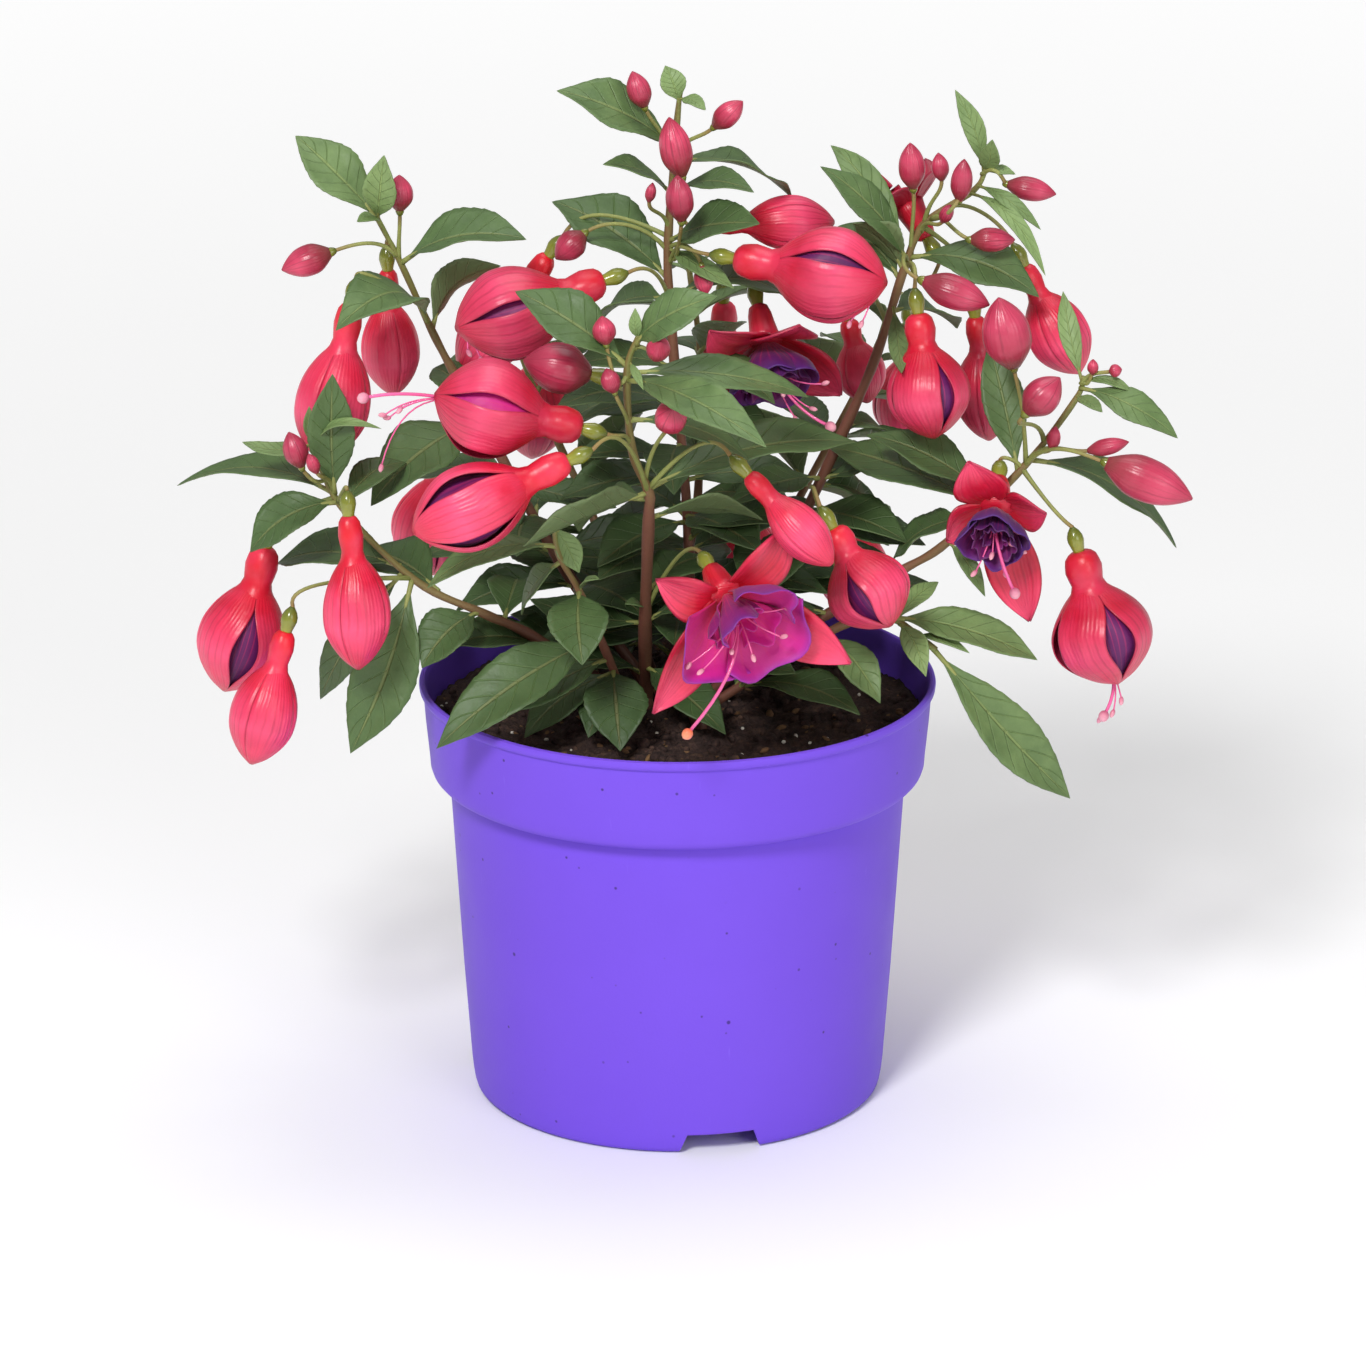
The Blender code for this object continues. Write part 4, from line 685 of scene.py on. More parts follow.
def petal_graph(name, low, middle, high, vein_colour, rough, veins, strength):
    """Sepals and buds: a colour run along the organ with fine lengthwise veins. The run's high colour is a
    painted highlight, a pinker band where the organ bulges most, and painted shade darkens the seams.
    """
    g = Graph(name)
    along, across, tone, under = (g.mark(n) for n in ("along", "across", "tone", "under"))
    # the high stop is a painted highlight: a pinker band where the sepal or bud bulges most
    colour = g.ramp(along, (0.06, *low), (0.42, *middle), (0.70, *high), (1.0, *middle))
    high, vein_colour = srgb(*high), srgb(*vein_colour)
    # pale patches in the high colour: painted highlight spots
    colour = g.mix(g.times(g.step(g.noise(110.0, 3.0), 0.35, 0.75), 0.45), colour, high)
    wander = g.times(g.math("SUBTRACT", g.noise(120.0, 2.0), 0.5), 0.25)
    line = g.math("COSINE", g.times(g.plus(across, wander), veins * math.pi))
    line = g.times(g.step(line, 0.45, 1.0), g.step(along, 0.2, 0.5))
    faint = g.times(line, g.step(g.noise(60.0, 2.0), 0.35, 0.65))
    colour = g.mix(g.times(faint, strength), colour, vein_colour)
    cloudy = g.step(g.noise(70.0, 3.0, 0.6), 0.40, 0.70)
    colour = g.mix(g.times(cloudy, 0.22), colour, vein_colour)
    # painted shade: darker at the seams between sepals and along their edges, where the creases fall in
    # shadow
    seam = g.step(g.math("ABSOLUTE", across), 0.90, 1.0)
    colour = g.mix(g.times(seam, 0.35), colour, vein_colour)
    # darker per flower by tone: the flowers' own deeper red, and for dark_centre also painted shade
    colour = g.mix(g.times(g.math("SUBTRACT", tone, 0.35), 0.75), colour, vein_colour)
    colour = g.mix(g.times(under, 0.35), colour, vein_colour)
    ridge = g.math("COSINE", g.times(g.plus(across, wander), 2.0 * veins * math.pi))
    height = g.plus(g.times(ridge, 0.10), g.noise(300.0, 3.0))
    return g.finish(colour, rough, g.bump(height, 0.0004, 0.5), Specular_IOR_Level=0.48)


def corolla_material():
    g = Graph("corolla")
    along, across, tone, under = (g.mark(n) for n in ("along", "across", "tone", "under"))
    outer = g.ramp(along, (0.0, 140, 16, 78), (0.3, 76, 10, 84), (0.8, 54, 9, 82), (1.0, 58, 14, 104))
    inner = g.ramp(
        along, (0.0, 226, 30, 70), (0.3, 216, 18, 124), (0.85, 196, 18, 138), (1.0, 160, 30, 156)
    )
    colour = g.mix(g.times(tone, g.plus(0.35, g.times(under, 0.65))), outer, inner)
    line = g.step(g.math("COSINE", g.times(across, 26.0)), 0.6, 1.0)
    line = g.times(line, g.step(along, 0.9, 0.2))
    colour = g.mix(g.times(line, 0.45), colour, srgb(214, 40, 100))
    return g.finish(colour, 0.55, g.bump(g.noise(600.0, 3.0), 0.0003, 0.5), Sheen_Weight=0.08)


def glossy_material(name, low, high, rough):
    g = Graph(name)
    colour = g.ramp(g.plus(g.mark("along"), g.times(g.noise(400.0), 0.3)), (0.2, *low), (1.0, *high))
    return g.finish(colour, rough, g.bump(g.noise(900.0), 0.0001, 0.3), Coat_Weight=0.3)


def pot_material():
    g = Graph("pot_plastic")
    base = g.mix(g.noise(9.0, 4.0, 0.6), srgb(108, 71, 206), srgb(120, 81, 222))
    for scale, size, share in ((150.0, 0.10, 0.80), (330.0, 0.16, 0.90)):
        near, chance = g.speck(scale)
        speck = g.times(g.step(near, size, 0.5 * size), g.step(chance[0], share, share + 0.06))
        base = g.mix(g.times(speck, 0.75), base, srgb(44, 30, 84))
    stretched = g.node("ShaderNodeMapping")
    g.link(g.spot(), stretched.inputs["Vector"])
    stretched.inputs["Scale"].default_value = (1.0, 1.0, 0.12)
    scratch = g.noise(420.0, 2.0, 0.7, stretched.outputs["Vector"])
    base = g.mix(g.times(g.step(scratch, 0.70, 0.78), 0.10), base, srgb(172, 142, 255))
    rough = g.plus(0.42, g.times(g.noise(60.0, 4.0), 0.16))
    normal = g.bump(g.noise(1400.0, 2.0), 0.00006, 0.5)
    normal = g.bump(g.noise(24.0, 2.0), 0.0006, 0.25, normal)
    return g.finish(base, rough, normal, Specular_IOR_Level=0.22)


def soil_material():
    g = Graph("peat")
    grain = g.noise(700.0, 6.0, 0.7)
    clump = g.noise(150.0, 4.0, 0.6)
    share = g.plus(g.times(grain, 0.6), g.times(clump, 0.4))
    colour = g.ramp(share, (0.30, 30, 23, 22), (0.52, 66, 50, 46), (0.72, 108, 82, 66))
    near, chance = g.speck(420.0)
    bit = g.times(g.step(near, 0.30, 0.18), g.step(chance[1], 0.88, 0.92))
    colour = g.mix(g.times(bit, 0.8), colour, srgb(128, 100, 66))
    return g.finish(colour, 0.9, g.bump(g.plus(grain, clump), 0.0012, 0.9), Specular_IOR_Level=0.25)


def plain_material(name, colour_a, colour_b, rough, scale=500.0):
    g = Graph(name)
    grain = g.noise(scale, 4.0, 0.6)
    return g.finish(g.mix(grain, srgb(*colour_a), srgb(*colour_b)), rough, g.bump(grain, 0.0004, 0.5))


MATERIALS = {
    "leaf": leaf_material(),
    "stem": stem_material(),
    # the third colour of sepal and bud is their painted highlight
    "sepal": petal_graph(
        "sepal", (224, 24, 38), (214, 22, 56), (246, 78, 120), (122, 4, 36), 0.38, 6.0, 0.30
    ),
    "bud": petal_graph(
        "bud", (132, 62, 60), (172, 40, 68), (214, 72, 104), (92, 12, 36), 0.33, 4.0, 0.45
    ),
    "corolla": corolla_material(),
    "ovary": glossy_material("ovary", (84, 96, 36), (140, 142, 52), 0.22),
    "stamen": glossy_material("stamen", (206, 44, 116), (232, 96, 156), 0.4),
    "anther": glossy_material("anther", (196, 100, 132), (230, 160, 176), 0.6),
    "stigma": glossy_material("stigma", (222, 104, 70), (244, 150, 112), 0.5),
    "pot": pot_material(),
    "soil": soil_material(),
    "bark": plain_material("bark_bits", (60, 40, 28), (140, 104, 66), 0.85),
    "perlite": plain_material("perlite", (196, 190, 176), (236, 232, 220), 0.8, 900.0),
}


# ---------------------------------------------------------------- pot and soil

POT_PROFILE = [  # radius and height, from the underside's centre, up the outer side, down the inner side
    (0, 5.2), (46.5, 5.2), (48.8, 4.6), (49.7, 3.2), (49.9, 0.0), (50.9, 0.0), (51.6, 0.6), (51.9, 1.6),
    (52.3, 4.0), (52.6, 7.0), (54.4, 32.0), (56.0, 58.0), (57.4, 81.0), (57.4, 83.5), (60.2, 83.8),
    (61.2, 84.2), (61.9, 85.0), (62.3, 86.2), (62.5, 89.0), (63.4, 98.0), (63.9, 104.6), (64.0, 105.3),
    (64.6, 105.6), (64.9, 106.2), (65.0, 107.0), (64.8, 107.7), (64.2, 108.0), (63.6, 107.8),
    (63.3, 107.2), (62.9, 106.0), (62.3, 98.0), (61.2, 87.2), (60.4, 86.2), (58.4, 85.6), (56.8, 85.0),
    (56.2, 83.6), (54.8, 58.0), (53.2, 32.0), (51.2, 9.6), (50.2, 7.4), (48.0, 6.8), (0, 6.8),
]
FOOT_SLOT = [(-10.7, -1.0), (10.7, -1.0), (8.5, 4.9), (-8.5, 4.9)]  # its corners, across and up
DRAIN_RING, DRAIN_RADIUS, DRAIN_SIDES = 34.0, 4.5, 28
SOIL_SIDE = [  # radius and height of the peat's side and underside, just inside the pot
    (62.2, 97.0), (60.9, 88.0), (59.8, 86.6), (56.0, 85.8), (55.8, 84.0), (50.6, 9.0), (49.4, 7.3),
]
SOIL_RADIUS, SOIL_FOOT, SOIL_TOP, SOIL_BITS = 62.0, 7.3, 100.3, 700


def turned(name, profile, sides):
    angles = np.arange(sides) * 2 * math.pi / sides
    rings = [
        [(r * MM * math.cos(a), r * MM * math.sin(a), z * MM) for a in angles] for r, z in profile if r > 0
    ]
    verts = [v for ring in rings for v in ring] + [(0, 0, profile[0][1] * MM), (0, 0, profile[-1][1] * MM)]
    faces = []
    for k in range(len(rings) - 1):
        for j in range(sides):
            i = (j + 1) % sides
            faces.append((k * sides + j, k * sides + i, (k + 1) * sides + i, (k + 1) * sides + j))
    last = (len(rings) - 1) * sides
    for j in range(sides):
        i = (j + 1) % sides
        faces += [(len(verts) - 2, i, j), (last + j, last + i, len(verts) - 1)]
    mesh = bpy.data.meshes.new(name)
    mesh.from_pydata(verts, [], faces)
    obj = bpy.data.objects.new(name, mesh)
    bpy.context.scene.collection.objects.link(obj)
    return obj


def cut(obj, verts, faces):
    """Takes a solid out of an object at once."""
    mesh = bpy.data.meshes.new("cutter")
    mesh.from_pydata(verts, [], faces)
    cutter = bpy.data.objects.new("cutter", mesh)
    bpy.context.scene.collection.objects.link(cutter)
    modifier = obj.modifiers.new("cut", "BOOLEAN")
    modifier.operation, modifier.solver, modifier.object = "DIFFERENCE", "EXACT", cutter
    result = bpy.data.meshes.new_from_object(obj.evaluated_get(bpy.context.evaluated_depsgraph_get()))
    obj.modifiers.clear()
    obj.data = result
    bpy.data.objects.remove(cutter)


def make_pot():
    pot = turned("visual_pot", POT_PROFILE, 240)
    box = [(0, 1, 2, 3), (7, 6, 5, 4), (0, 4, 5, 1), (1, 5, 6, 2), (2, 6, 7, 3), (3, 7, 4, 0)]
    for k in range(3):
        turn = Matrix.Rotation(math.radians(12 + 120 * k), 3, "Z")
        verts = [turn @ place((x, y, z)) for y in (-45.0, -57.0) for x, z in FOOT_SLOT]
        cut(pot, verts, [f[::-1] for f in box])
    for k in range(6):
        angle = 2 * math.pi * (k + 0.56) / 6
        x, y = DRAIN_RING * math.cos(angle), DRAIN_RING * math.sin(angle)
        n, wide = DRAIN_SIDES, DRAIN_RADIUS
        hole = [(wide * math.cos(a), wide * math.sin(a)) for a in np.arange(n) * 2 * math.pi / n]
        verts = [place((x + dx, y + dy, z)) for z in (2.0, 10.0) for dx, dy in hole]
        faces = [(j, (j + 1) % n, (j + 1) % n + n, j + n) for j in range(n)]
        cut(pot, verts, [*faces, tuple(range(n - 1, -1, -1)), tuple(range(n, 2 * n))])
    pot.data.shade_smooth()
    pot.data.set_sharp_from_angle(angle=math.radians(40))
    pot.data.materials.append(MATERIALS["pot"])
    finish_piece(pot, "pot", "pot")


def soil_height(x, y):
    """Height of the peat in mm: a low mound of crumbs, a little hollow at the wall."""
    radius = math.hypot(x, y)
    low = noise.noise(Vector((x, y, 3.0)) / 17.0) * 1.6
    crumbs = noise.fractal(Vector((x, y, 8.0)) / 3.4, 0.7, 2.1, 4) * 1.2
    grains = abs(noise.noise(Vector((x, y, 21.0)) / 1.3)) * 0.7
    return SOIL_TOP - 2.4 * (radius / SOIL_RADIUS) ** 4 + low + crumbs + grains


def make_soil():
    rng = random.Random(11)
    skin = Skin()
    sides, rows = 300, 84
    angles = np.arange(sides) * 2 * math.pi / sides
    rings = []
    for k in range(rows):
        radius = SOIL_RADIUS * ((k + 0.5) / (rows - 0.5)) ** 0.85
        xy = [(radius * math.cos(a), radius * math.sin(a)) for a in angles]
        rings.append([(x * MM, y * MM, soil_height(x, y) * MM) for x, y in xy])
    for radius, height in SOIL_SIDE:
        rings.append([(radius * MM * math.cos(a), radius * MM * math.sin(a), height * MM) for a in angles])
    rings = np.array(rings)[::-1]
    skin.rings(rings, (0, 0, SOIL_FOOT * MM), (0, 0, soil_height(0, 0) * MM), "soil", 0.0, 0.0, 0.0)
    for _ in range(SOIL_BITS):
        radius, angle = 60.0 * math.sqrt(rng.random()), rng.random() * 2 * math.pi
        x, y = radius * math.cos(angle), radius * math.sin(angle)
        kind = rng.choices(("soil", "bark", "perlite"), (0.74, 0.20, 0.06))[0]
        long = rng.uniform(1.0, 3.6) if kind != "perlite" else rng.uniform(0.7, 1.5)
        way = Vector((rng.uniform(-1, 1), rng.uniform(-1, 1), rng.uniform(-0.4, 0.4))).normalized()
        thick = long * (rng.uniform(0.14, 0.32) if kind == "bark" else rng.uniform(0.32, 0.46))
        centre = place((x, y, soil_height(x, y) + 0.2 * thick))
        skin.lump(centre, way, long * MM, thick * MM, 0.0, kind, 6, 5)
    finish_piece(skin.build("visual_potting_soil", MATERIALS), "soil", "potting_soil")


# ---------------------------------------------------------------- shoots

BLADE = [  # place along a leaf, share of its half width
    (0.0, 0.05), (0.08, 0.07), (0.15, 0.25), (0.30, 0.72), (0.48, 1.0), (0.63, 0.97), (0.79, 0.68),
    (0.91, 0.30), (1.0, 0.0),
]
COLUMNS = np.array([1.0, 0.80, 0.52, 0.24, 0.0, -0.24, -0.52, -0.80, -1.0])


def add_leaf(skin, root, tip, width, normal, arch, young, rng):
    """One blade with its stalk: folded on the midrib, wavy and finely toothed at the edge."""
    axis = tip - root
    length, along = axis.length, axis.normalized()
    normal = normal - along * normal.dot(along)
    normal = normal.normalized() if normal.length > 0.05 else along.orthogonal().normalized()
    side = along.cross(normal)
    big = min(1.0, width / (12 * MM))
    rows = 14 + int(30 * big)
    t = np.linspace(0.09, 1.0, rows)[:, None]
    s = COLUMNS[None, :]
    teeth = 7 + int(5 * big)
    saw = 1.0 - np.mod(t * teeth + 0.15 * s, 1.0)
    half = smooth_values(BLADE, t) * width / 2 * 1.04
    half = half * (1 + 0.045 * (saw - 0.5) * np.abs(s) ** 4)
    bend, phase, wavy = rng.uniform(-0.05, 0.05), rng.random() * 6.3, rng.uniform(0.02, 0.07)
    fold, curl = rng.uniform(0.14, 0.34), rng.uniform(-0.04, 0.03)
    lift = 4 * arch * t * (1 - t) + curl * length * t**3
    lift = lift + fold * half * np.abs(s) ** 1.4
    full = half / (width / 2)
    lift = lift + wavy * width * np.sin(2 * math.pi * 1.7 * t + phase + 1.4 * np.sign(s)) * s**2 * full
    quilt = np.cos(2 * math.pi * (SIDE_VEINS * t - VEIN_SLOPE * np.abs(s))) * np.sin(math.pi * np.abs(s))
    lift = lift + 0.10 * MM * quilt * full * big
    across = s * half + bend * length * np.sin(math.pi * t)
    a, n, b, r = (np.array(x) for x in (along, normal, side, root))
    points = r + a * (t * length)[..., None] + b * across[..., None] + n * lift[..., None]
    thick = (0.32 + 0.55 * np.exp(-((s / 0.16) ** 2)) * (1 - 0.8 * t)) * MM
    thick = np.minimum(thick, 0.25 * MM + half)
    tone = min(1.0, max(0.0, young + rng.uniform(-0.10, 0.10)))
    skin.sheet(points, t, s, tone, "leaf", thick)
    stalk = []
    for k in (0.0, 0.05, 0.10, 0.15, 0.22):
        rise = 4 * arch * k * (1 - k) + curl * length * k**3
        stalk.append(Vector(r + a * length * k + n * rise + b * bend * length * math.sin(math.pi * k)))
    thin = (0.35 + 0.45 * big) * MM
    skin.tube(stalk, [thin * k for k in (1.0, 0.85, 0.8, 0.6, 0.2)], 7, 1.0, "stem", (0.2, 0.6))


def fit(tree, choices, corners, limit=0.6 * MM):
    """The choice whose corner points lie nearest to the frame's vertices, or None."""
    best, least = None, limit
    for choice in choices:
        points = corners(choice)
        mean = sum(min(tree.find(p)[2], limit) for p in points) / len(points)
        if mean < least - 1e-9:
            best, least = choice, mean
    return best


def plan_paths():
    return {
        shoot: stem_path([place(p) for p in points])
        for shoot, (_, points) in {**SHOOTS, **REAR_SHOOTS}.items()
    }


def add_stem(skin, points, radii):
    thick, thin = radii
    path = [points[0] - Vector((0, 0, 5 * MM)), *smooth_path(points, 7)]
    n = len(path)
    rows = []
    for k in range(n):
        joint = 1.0 + 0.10 * math.cos(2 * math.pi * k / 7)
        rows.append((thick + (thin - thick) * k / (n - 1)) * MM * 0.86 * joint)
    skin.tube(path, rows, 12, 0.0, "stem", (0.0, 1.0))


def add_stalk(skin, tree, root, via, end, way, into):
    """A flower's or bud's stalk, bent as the frame's is."""
    middle = (root + end) / 2 if via is None else via

    def bent(choice):
        return via if choice == (0, 0) else middle + DEPTH * choice[0] * MM + UP * (2 + choice[1]) * MM

    def corners(choice):
        return stalk_path(root, bent(choice), end, way, 3)[1:3]

    choice = fit(tree, BENDS, corners, 3.0 * MM)
    path = stalk_path(root, bent(choice or (0, 0)), end, way, 14)
    path.append(end + way * into)
    radii = [0.75, 0.66, 0.60, 0.56, 0.53] + [0.50] * 9 + [0.55, 0.7]
    skin.tube(path, [r * MM for r in radii], 8, 1.0, "stem", (0.0, 1.0))


def grow_shoots(paths, stalks, buds):
    for shoot, (radii, _) in {**SHOOTS, **REAR_SHOOTS}.items():
        rng = random.Random("leaves of " + shoot)
        node, path, skin = "shoot_" + shoot, paths[shoot], Skin()
        tree = vertex_tree(node)
        add_stem(skin, path, radii)
        for root, via, end, way, into in stalks[shoot]:
            add_stalk(skin, tree, root, via, end, way, into)
        for base, tip, width in buds[shoot]:
            add_bud(skin, base, tip, width, rng)
        top = path[-1].z - path[0].z
        last = path[-1].lerp(path[-2], 1.4 * MM / (path[-1] - path[-2]).length)
        for owner, root, tip, width, normal, arch in leaf_rows():
            if owner != shoot:
                continue
            root = nearest_on([*path[:-1], last], root)

            def corners(choice, root=root, tip=tip, width=width, normal=normal, arch=arch):
                shift, bow, size = choice
                end = root + (tip + DEPTH * shift * MM - root) * size
                return coarse_blade(root, end, width * size, normal, arch * bow)

            choice = fit(tree, LEAF_CHOICES, corners)
            if choice is None:
                continue
            shift, bow, size = choice
            end = root + (tip + DEPTH * shift * MM - root) * size
            young = 0.18 + 0.52 * (root.z - path[0].z) / top + (0.28 if width < 9 * MM else 0.0)
            add_leaf(skin, root, end, width * size, normal, arch * bow, young, rng)
        finish_piece(skin.build("visual_" + node, MATERIALS), "foliage", node)


# ---------------------------------------------------------------- flowers and buds

# Place along a closed flower, share of the tube's radius, share of the largest radius
BALLOON = [
    (0.0, 0.80, 0), (0.13, 1.05, 0), (0.26, 0.95, 0), (0.35, 0, 0.58), (0.47, 0, 0.86), (0.62, 0, 1.0),
    (0.76, 0, 0.92), (0.88, 0, 0.62), (0.95, 0, 0.34), (1.0, 0, 0.05),
]
OVARY = [  # place along its axis and radius in mm
    (-6.4, 0.55), (-6.0, 0.85), (-5.2, 1.5), (-4.0, 2.0), (-2.8, 2.1), (-1.6, 1.8), (-0.4, 1.5), (0.8, 1.4),
]
OPEN_SEPAL = [(0, 0.42), (0.18, 0.72), (0.45, 1.0), (0.72, 0.80), (0.9, 0.36), (1.0, 0.02)]
BUD = [
    (0.0, 0.30), (0.06, 0.46), (0.14, 0.66), (0.28, 0.93), (0.46, 1.0), (0.68, 0.86), (0.86, 0.50),
    (0.96, 0.20), (1.0, 0.05),
]
BUD_FOOT = [(-1.6, 0.55), (-1.2, 0.9), (-0.4, 1.25), (0.4, 1.35), (1.3, 1.2), (2.0, 0.6)]
# Parted flowers: turn of the widest slit from the front in degrees, then how far each of four slits gapes
SLITS = {
    "left_top": (2, (7, 1, 1, 9)),
    "crown_front": (-17, (8, 2, 1, 3)),
    "right_inner": (-24, (10, 2, 1, 8)),
    "front_left_upper": (6, (9, 1, 1, 24)),
    "front_left_lower": (36, (12, 1, 1, 10)),
    "front_right": (20, (13, 3, 1, 3)),
    "right_outer": (-14, (17, 12, 1, 3)),
    "outer_left": (-13, (17, 3, 1, 4)),
    "rear_left_low": (170, (12, 4, 2, 3)),
    "rear_mid_low": (190, (14, 3, 2, 4)),
    "rear_right_high": (165, (12, 4, 2, 3)),
}
UNOPENED = ("front_left_bud",)  # still a bud
DEEPER_RED_AND_SHADE = {  # flowers of a darker crimson than the rest; dark_centre's extra darkness is painted shade, as it hangs in the bush's shadow
    "left_top": 0.3, "front_left_upper": 0.35, "crown_front": 0.15, "right_inner": 0.25,
    "right_top_open": 0.3, "right_deep": 0.3, "right_rear": 0.3, "right_outer": 0.2, "dark_centre": 0.35,
    "right_open": 0.2,
}
MAGENTA_INSIDE = {"front_left_upper": 0.95, "left_top": 0.3}
# Ends of the pink filaments that hang out, in mm, and below them the ends of the styles
FILAMENTS = {
    "crown_front": [(42, -23, 207), (45, -23, 207)],
    "front_left_upper": [(-70, -58, 194), (-69, -57, 193), (-71, -57, 181), (-66, -59, 196)],
    "left_top": [(-51, -24, 200), (-48, -23, 198)],
    "right_outer": [(108, -27, 108), (105, -26, 106), (110, -26, 111)],
    "front_open": [(26, -72, 150), (25, -73, 143), (13, -80, 142), (3, -78, 138), (6, -80, 137),
        (18, -78, 140)],
    "right_open": [(77, -36, 152), (81, -37, 155), (83, -35, 157), (84, -34, 152), (80, -37, 147),
        (73, -35, 147)],
    "dark_centre": [(26, -6, 184), (33, -6, 180), (36, -5, 186), (29, -7, 178)],
}
STYLES = {
    "front_left_upper": (-74, -60, 199),
    "right_outer": (106, -28, 108),
    "front_open": (3, -84, 123),
    "right_open": (82, -40, 144),
    "dark_centre": (37, -7, 176),
}
PINK_STIGMA = ("front_left_upper", "right_open", "right_outer", "dark_centre")  # the front one's is coral
PETALS = {  # open flowers: radius and length of the fan in mm, share of magenta, how far the
    # near petals close over the rest, then its layers as
    # number of petals, half the angle each covers, share of the radius, share of the length
    "dark_centre": (11.0, 13.0, 0.2, 0.0, ((4, 62, 1.0, 1.0), (4, 46, 0.72, 1.0), (3, 50, 0.42, 0.95))),
    "front_open": (17.0, 15.0, 0.95, 0.55, ((4, 60, 1.0, 1.0), (3, 46, 0.58, 0.80), (2, 50, 0.30, 0.60))),
    "right_open": (8.2, 12.5, 0.15, 0.0, ((4, 62, 1.0, 1.0), (4, 48, 0.66, 1.0), (3, 50, 0.36, 0.9))),
}


def facing(way):
    """A pair across a direction, the first one turned as far to the front as it can be."""
    u = (TO_VIEWER - way * TO_VIEWER.dot(way)).normalized()
    return u, way.cross(u)


def arr(*vectors):
    return [np.array(v) for v in vectors]


def spoke(u, v, phi):
    """The unit directions at angles round an axis."""
    return np.cos(phi)[..., None] * u + np.sin(phi)[..., None] * v


def add_ovary(skin, start, way, stations=OVARY):
    u, v = facing(way)
    s, w, u, v = arr(start, way, u, v)
    phi = np.arange(14) * 2 * math.pi / 14
    places, radii = np.array(stations).T * MM
    centres = s + w * places[:, None]
    rings = centres[:, None] + radii[:, None, None] * spoke(u, v, phi)[None]
    run = np.linspace(0, 1, len(stations))[:, None]
    skin.rings(rings, centres[0], centres[-1], "ovary", run, 0.0, 0.0)


def add_balloon(skin, start, tip, width, turn, gaps, magenta, tone, rng):
    """A flower whose four sepals still touch at the tip, with slits between them where it has parted."""
    way = (tip - start).normalized()
    length = (tip - start).length
    tube = max(0.37 * width / 2, 2.6 * MM)
    u, v = facing(way)
    stations = [(t, a * tube if a else b * width / 2) for t, a, b in BALLOON]
    stations[-1] = (1.0, 0.35 * MM)
    s0, w, u, v = arr(start, way, u, v)
    bend = rng.uniform(-0.02, 0.02) * length

    def centre(t):
        return s0 + w * (t * length)[..., None] + v * (bend * np.sin(math.pi * t))[..., None]

    def ring(t, phi, r):
        return centre(t) + r[..., None] * spoke(u, v, phi)

    # the tube, with four faint corners
    t, phi = np.meshgrid(np.array([0.0, 0.012, 0.04, 0.08, 0.13, 0.18, 0.23, 0.28, 0.33, 0.38]),
                         np.arange(32) * 2 * math.pi / 32, indexing="ij")
    r = smooth_values(stations, t) * (1 + 0.025 * np.cos(4 * (phi - math.radians(turn))))
    r = r * np.clip(0.62 + t * 16, 0, 1) - 0.2 * MM * np.clip((t - 0.3) / 0.08, 0, 1)
    rings = ring(t, phi, r)
    skin.rings(rings, rings[0].mean(0), rings[-1].mean(0), "sepal", t, 0.0, tone)

    # the petals inside, rolled into a folded core
    t, phi = np.meshgrid(np.linspace(0.28, 0.955, 18), np.arange(48) * 2 * math.pi / 48, indexing="ij")
    swirl = phi + 2.4 * t
    base = smooth_values(stations, t)
    r = base * (0.80 + 0.07 * np.sin(2 * swirl) + 0.05 * np.abs(np.sin(3.5 * swirl + 1.0)))
    rings = ring(t, phi, np.minimum(r, base - 0.7 * MM).clip(0.15 * MM))
    skin.rings(rings, rings[0].mean(0), rings[-1].mean(0), "corolla", t * 0.8, np.sin(phi * 2), magenta, 1.0)

    # four sepals
    t = np.linspace(0.27, 1.0, 34)[:, None]
    s = np.array([1.0, 0.94, 0.82, 0.62, 0.36, 0.12, -0.12, -0.36, -0.62, -0.82, -0.94, -1.0])[None, :]
    swell = np.clip(np.sin(math.pi * np.clip((t - 0.36) / 0.60, 0, 1)), 0, 1) ** 1.3
    base = smooth_values(stations, t)
    for k in range(4):
        left = math.radians(turn + 90 * k) + np.radians(gaps[k]) * swell
        right = math.radians(turn + 90 * (k + 1)) - np.radians(gaps[(k + 1) % 4]) * swell
        phi = left + (s + 1) / 2 * (right - left)
        flare = (gaps[k] * (s < 0) + gaps[(k + 1) % 4] * (s > 0)) / 20
        ribs = 0.020 * np.cos(2.5 * math.pi * s) * np.clip((t - 0.3) * 4, 0, 1)
        seam = -0.045 * np.abs(s) ** 8 * np.clip((t - 0.3) * 5, 0, 1) * (flare < 0.2)
        r = base * (1 + ribs + seam + 0.07 * flare * swell * np.abs(s) ** 3)
        r = r + (0.15 - 0.62 * np.clip((0.37 - t) / 0.10, 0, 1)) * MM
        sheet = ring(np.broadcast_to(t, r.shape), phi, r)
        skin.sheet(sheet, t, s, tone + rng.uniform(-0.06, 0.06), "sepal", 0.45 * MM * (1.0 - 0.3 * t))


def add_filament(skin, root, way, end, rng, knob=None):
    """A pink thread that leaves along the flower and ends in an anther or in the stigma's knob."""
    reach = (end - root).length
    c = root + way * reach * 0.6
    path = [root * (1 - t) ** 2 + c * 2 * t * (1 - t) + end * t * t for t in np.linspace(0, 1, 12)]
    last = (path[-1] - path[-2]).normalized()
    thin = 0.42 if knob else 0.20
    skin.tube(path, [thin * MM] * 12, 6, 0.0, "stamen")
    if knob:
        skin.lump(end + last * 1.0 * MM, last, 3.0 * MM, 1.35 * MM, 0.0, knob, 10, 9)
    else:
        lean = (last + last.orthogonal() * rng.uniform(-0.6, 0.6)).normalized()
        skin.lump(end + lean * 0.6 * MM, lean, 2.3 * MM, 0.62 * MM, 0.0, "anther", 8, 7)


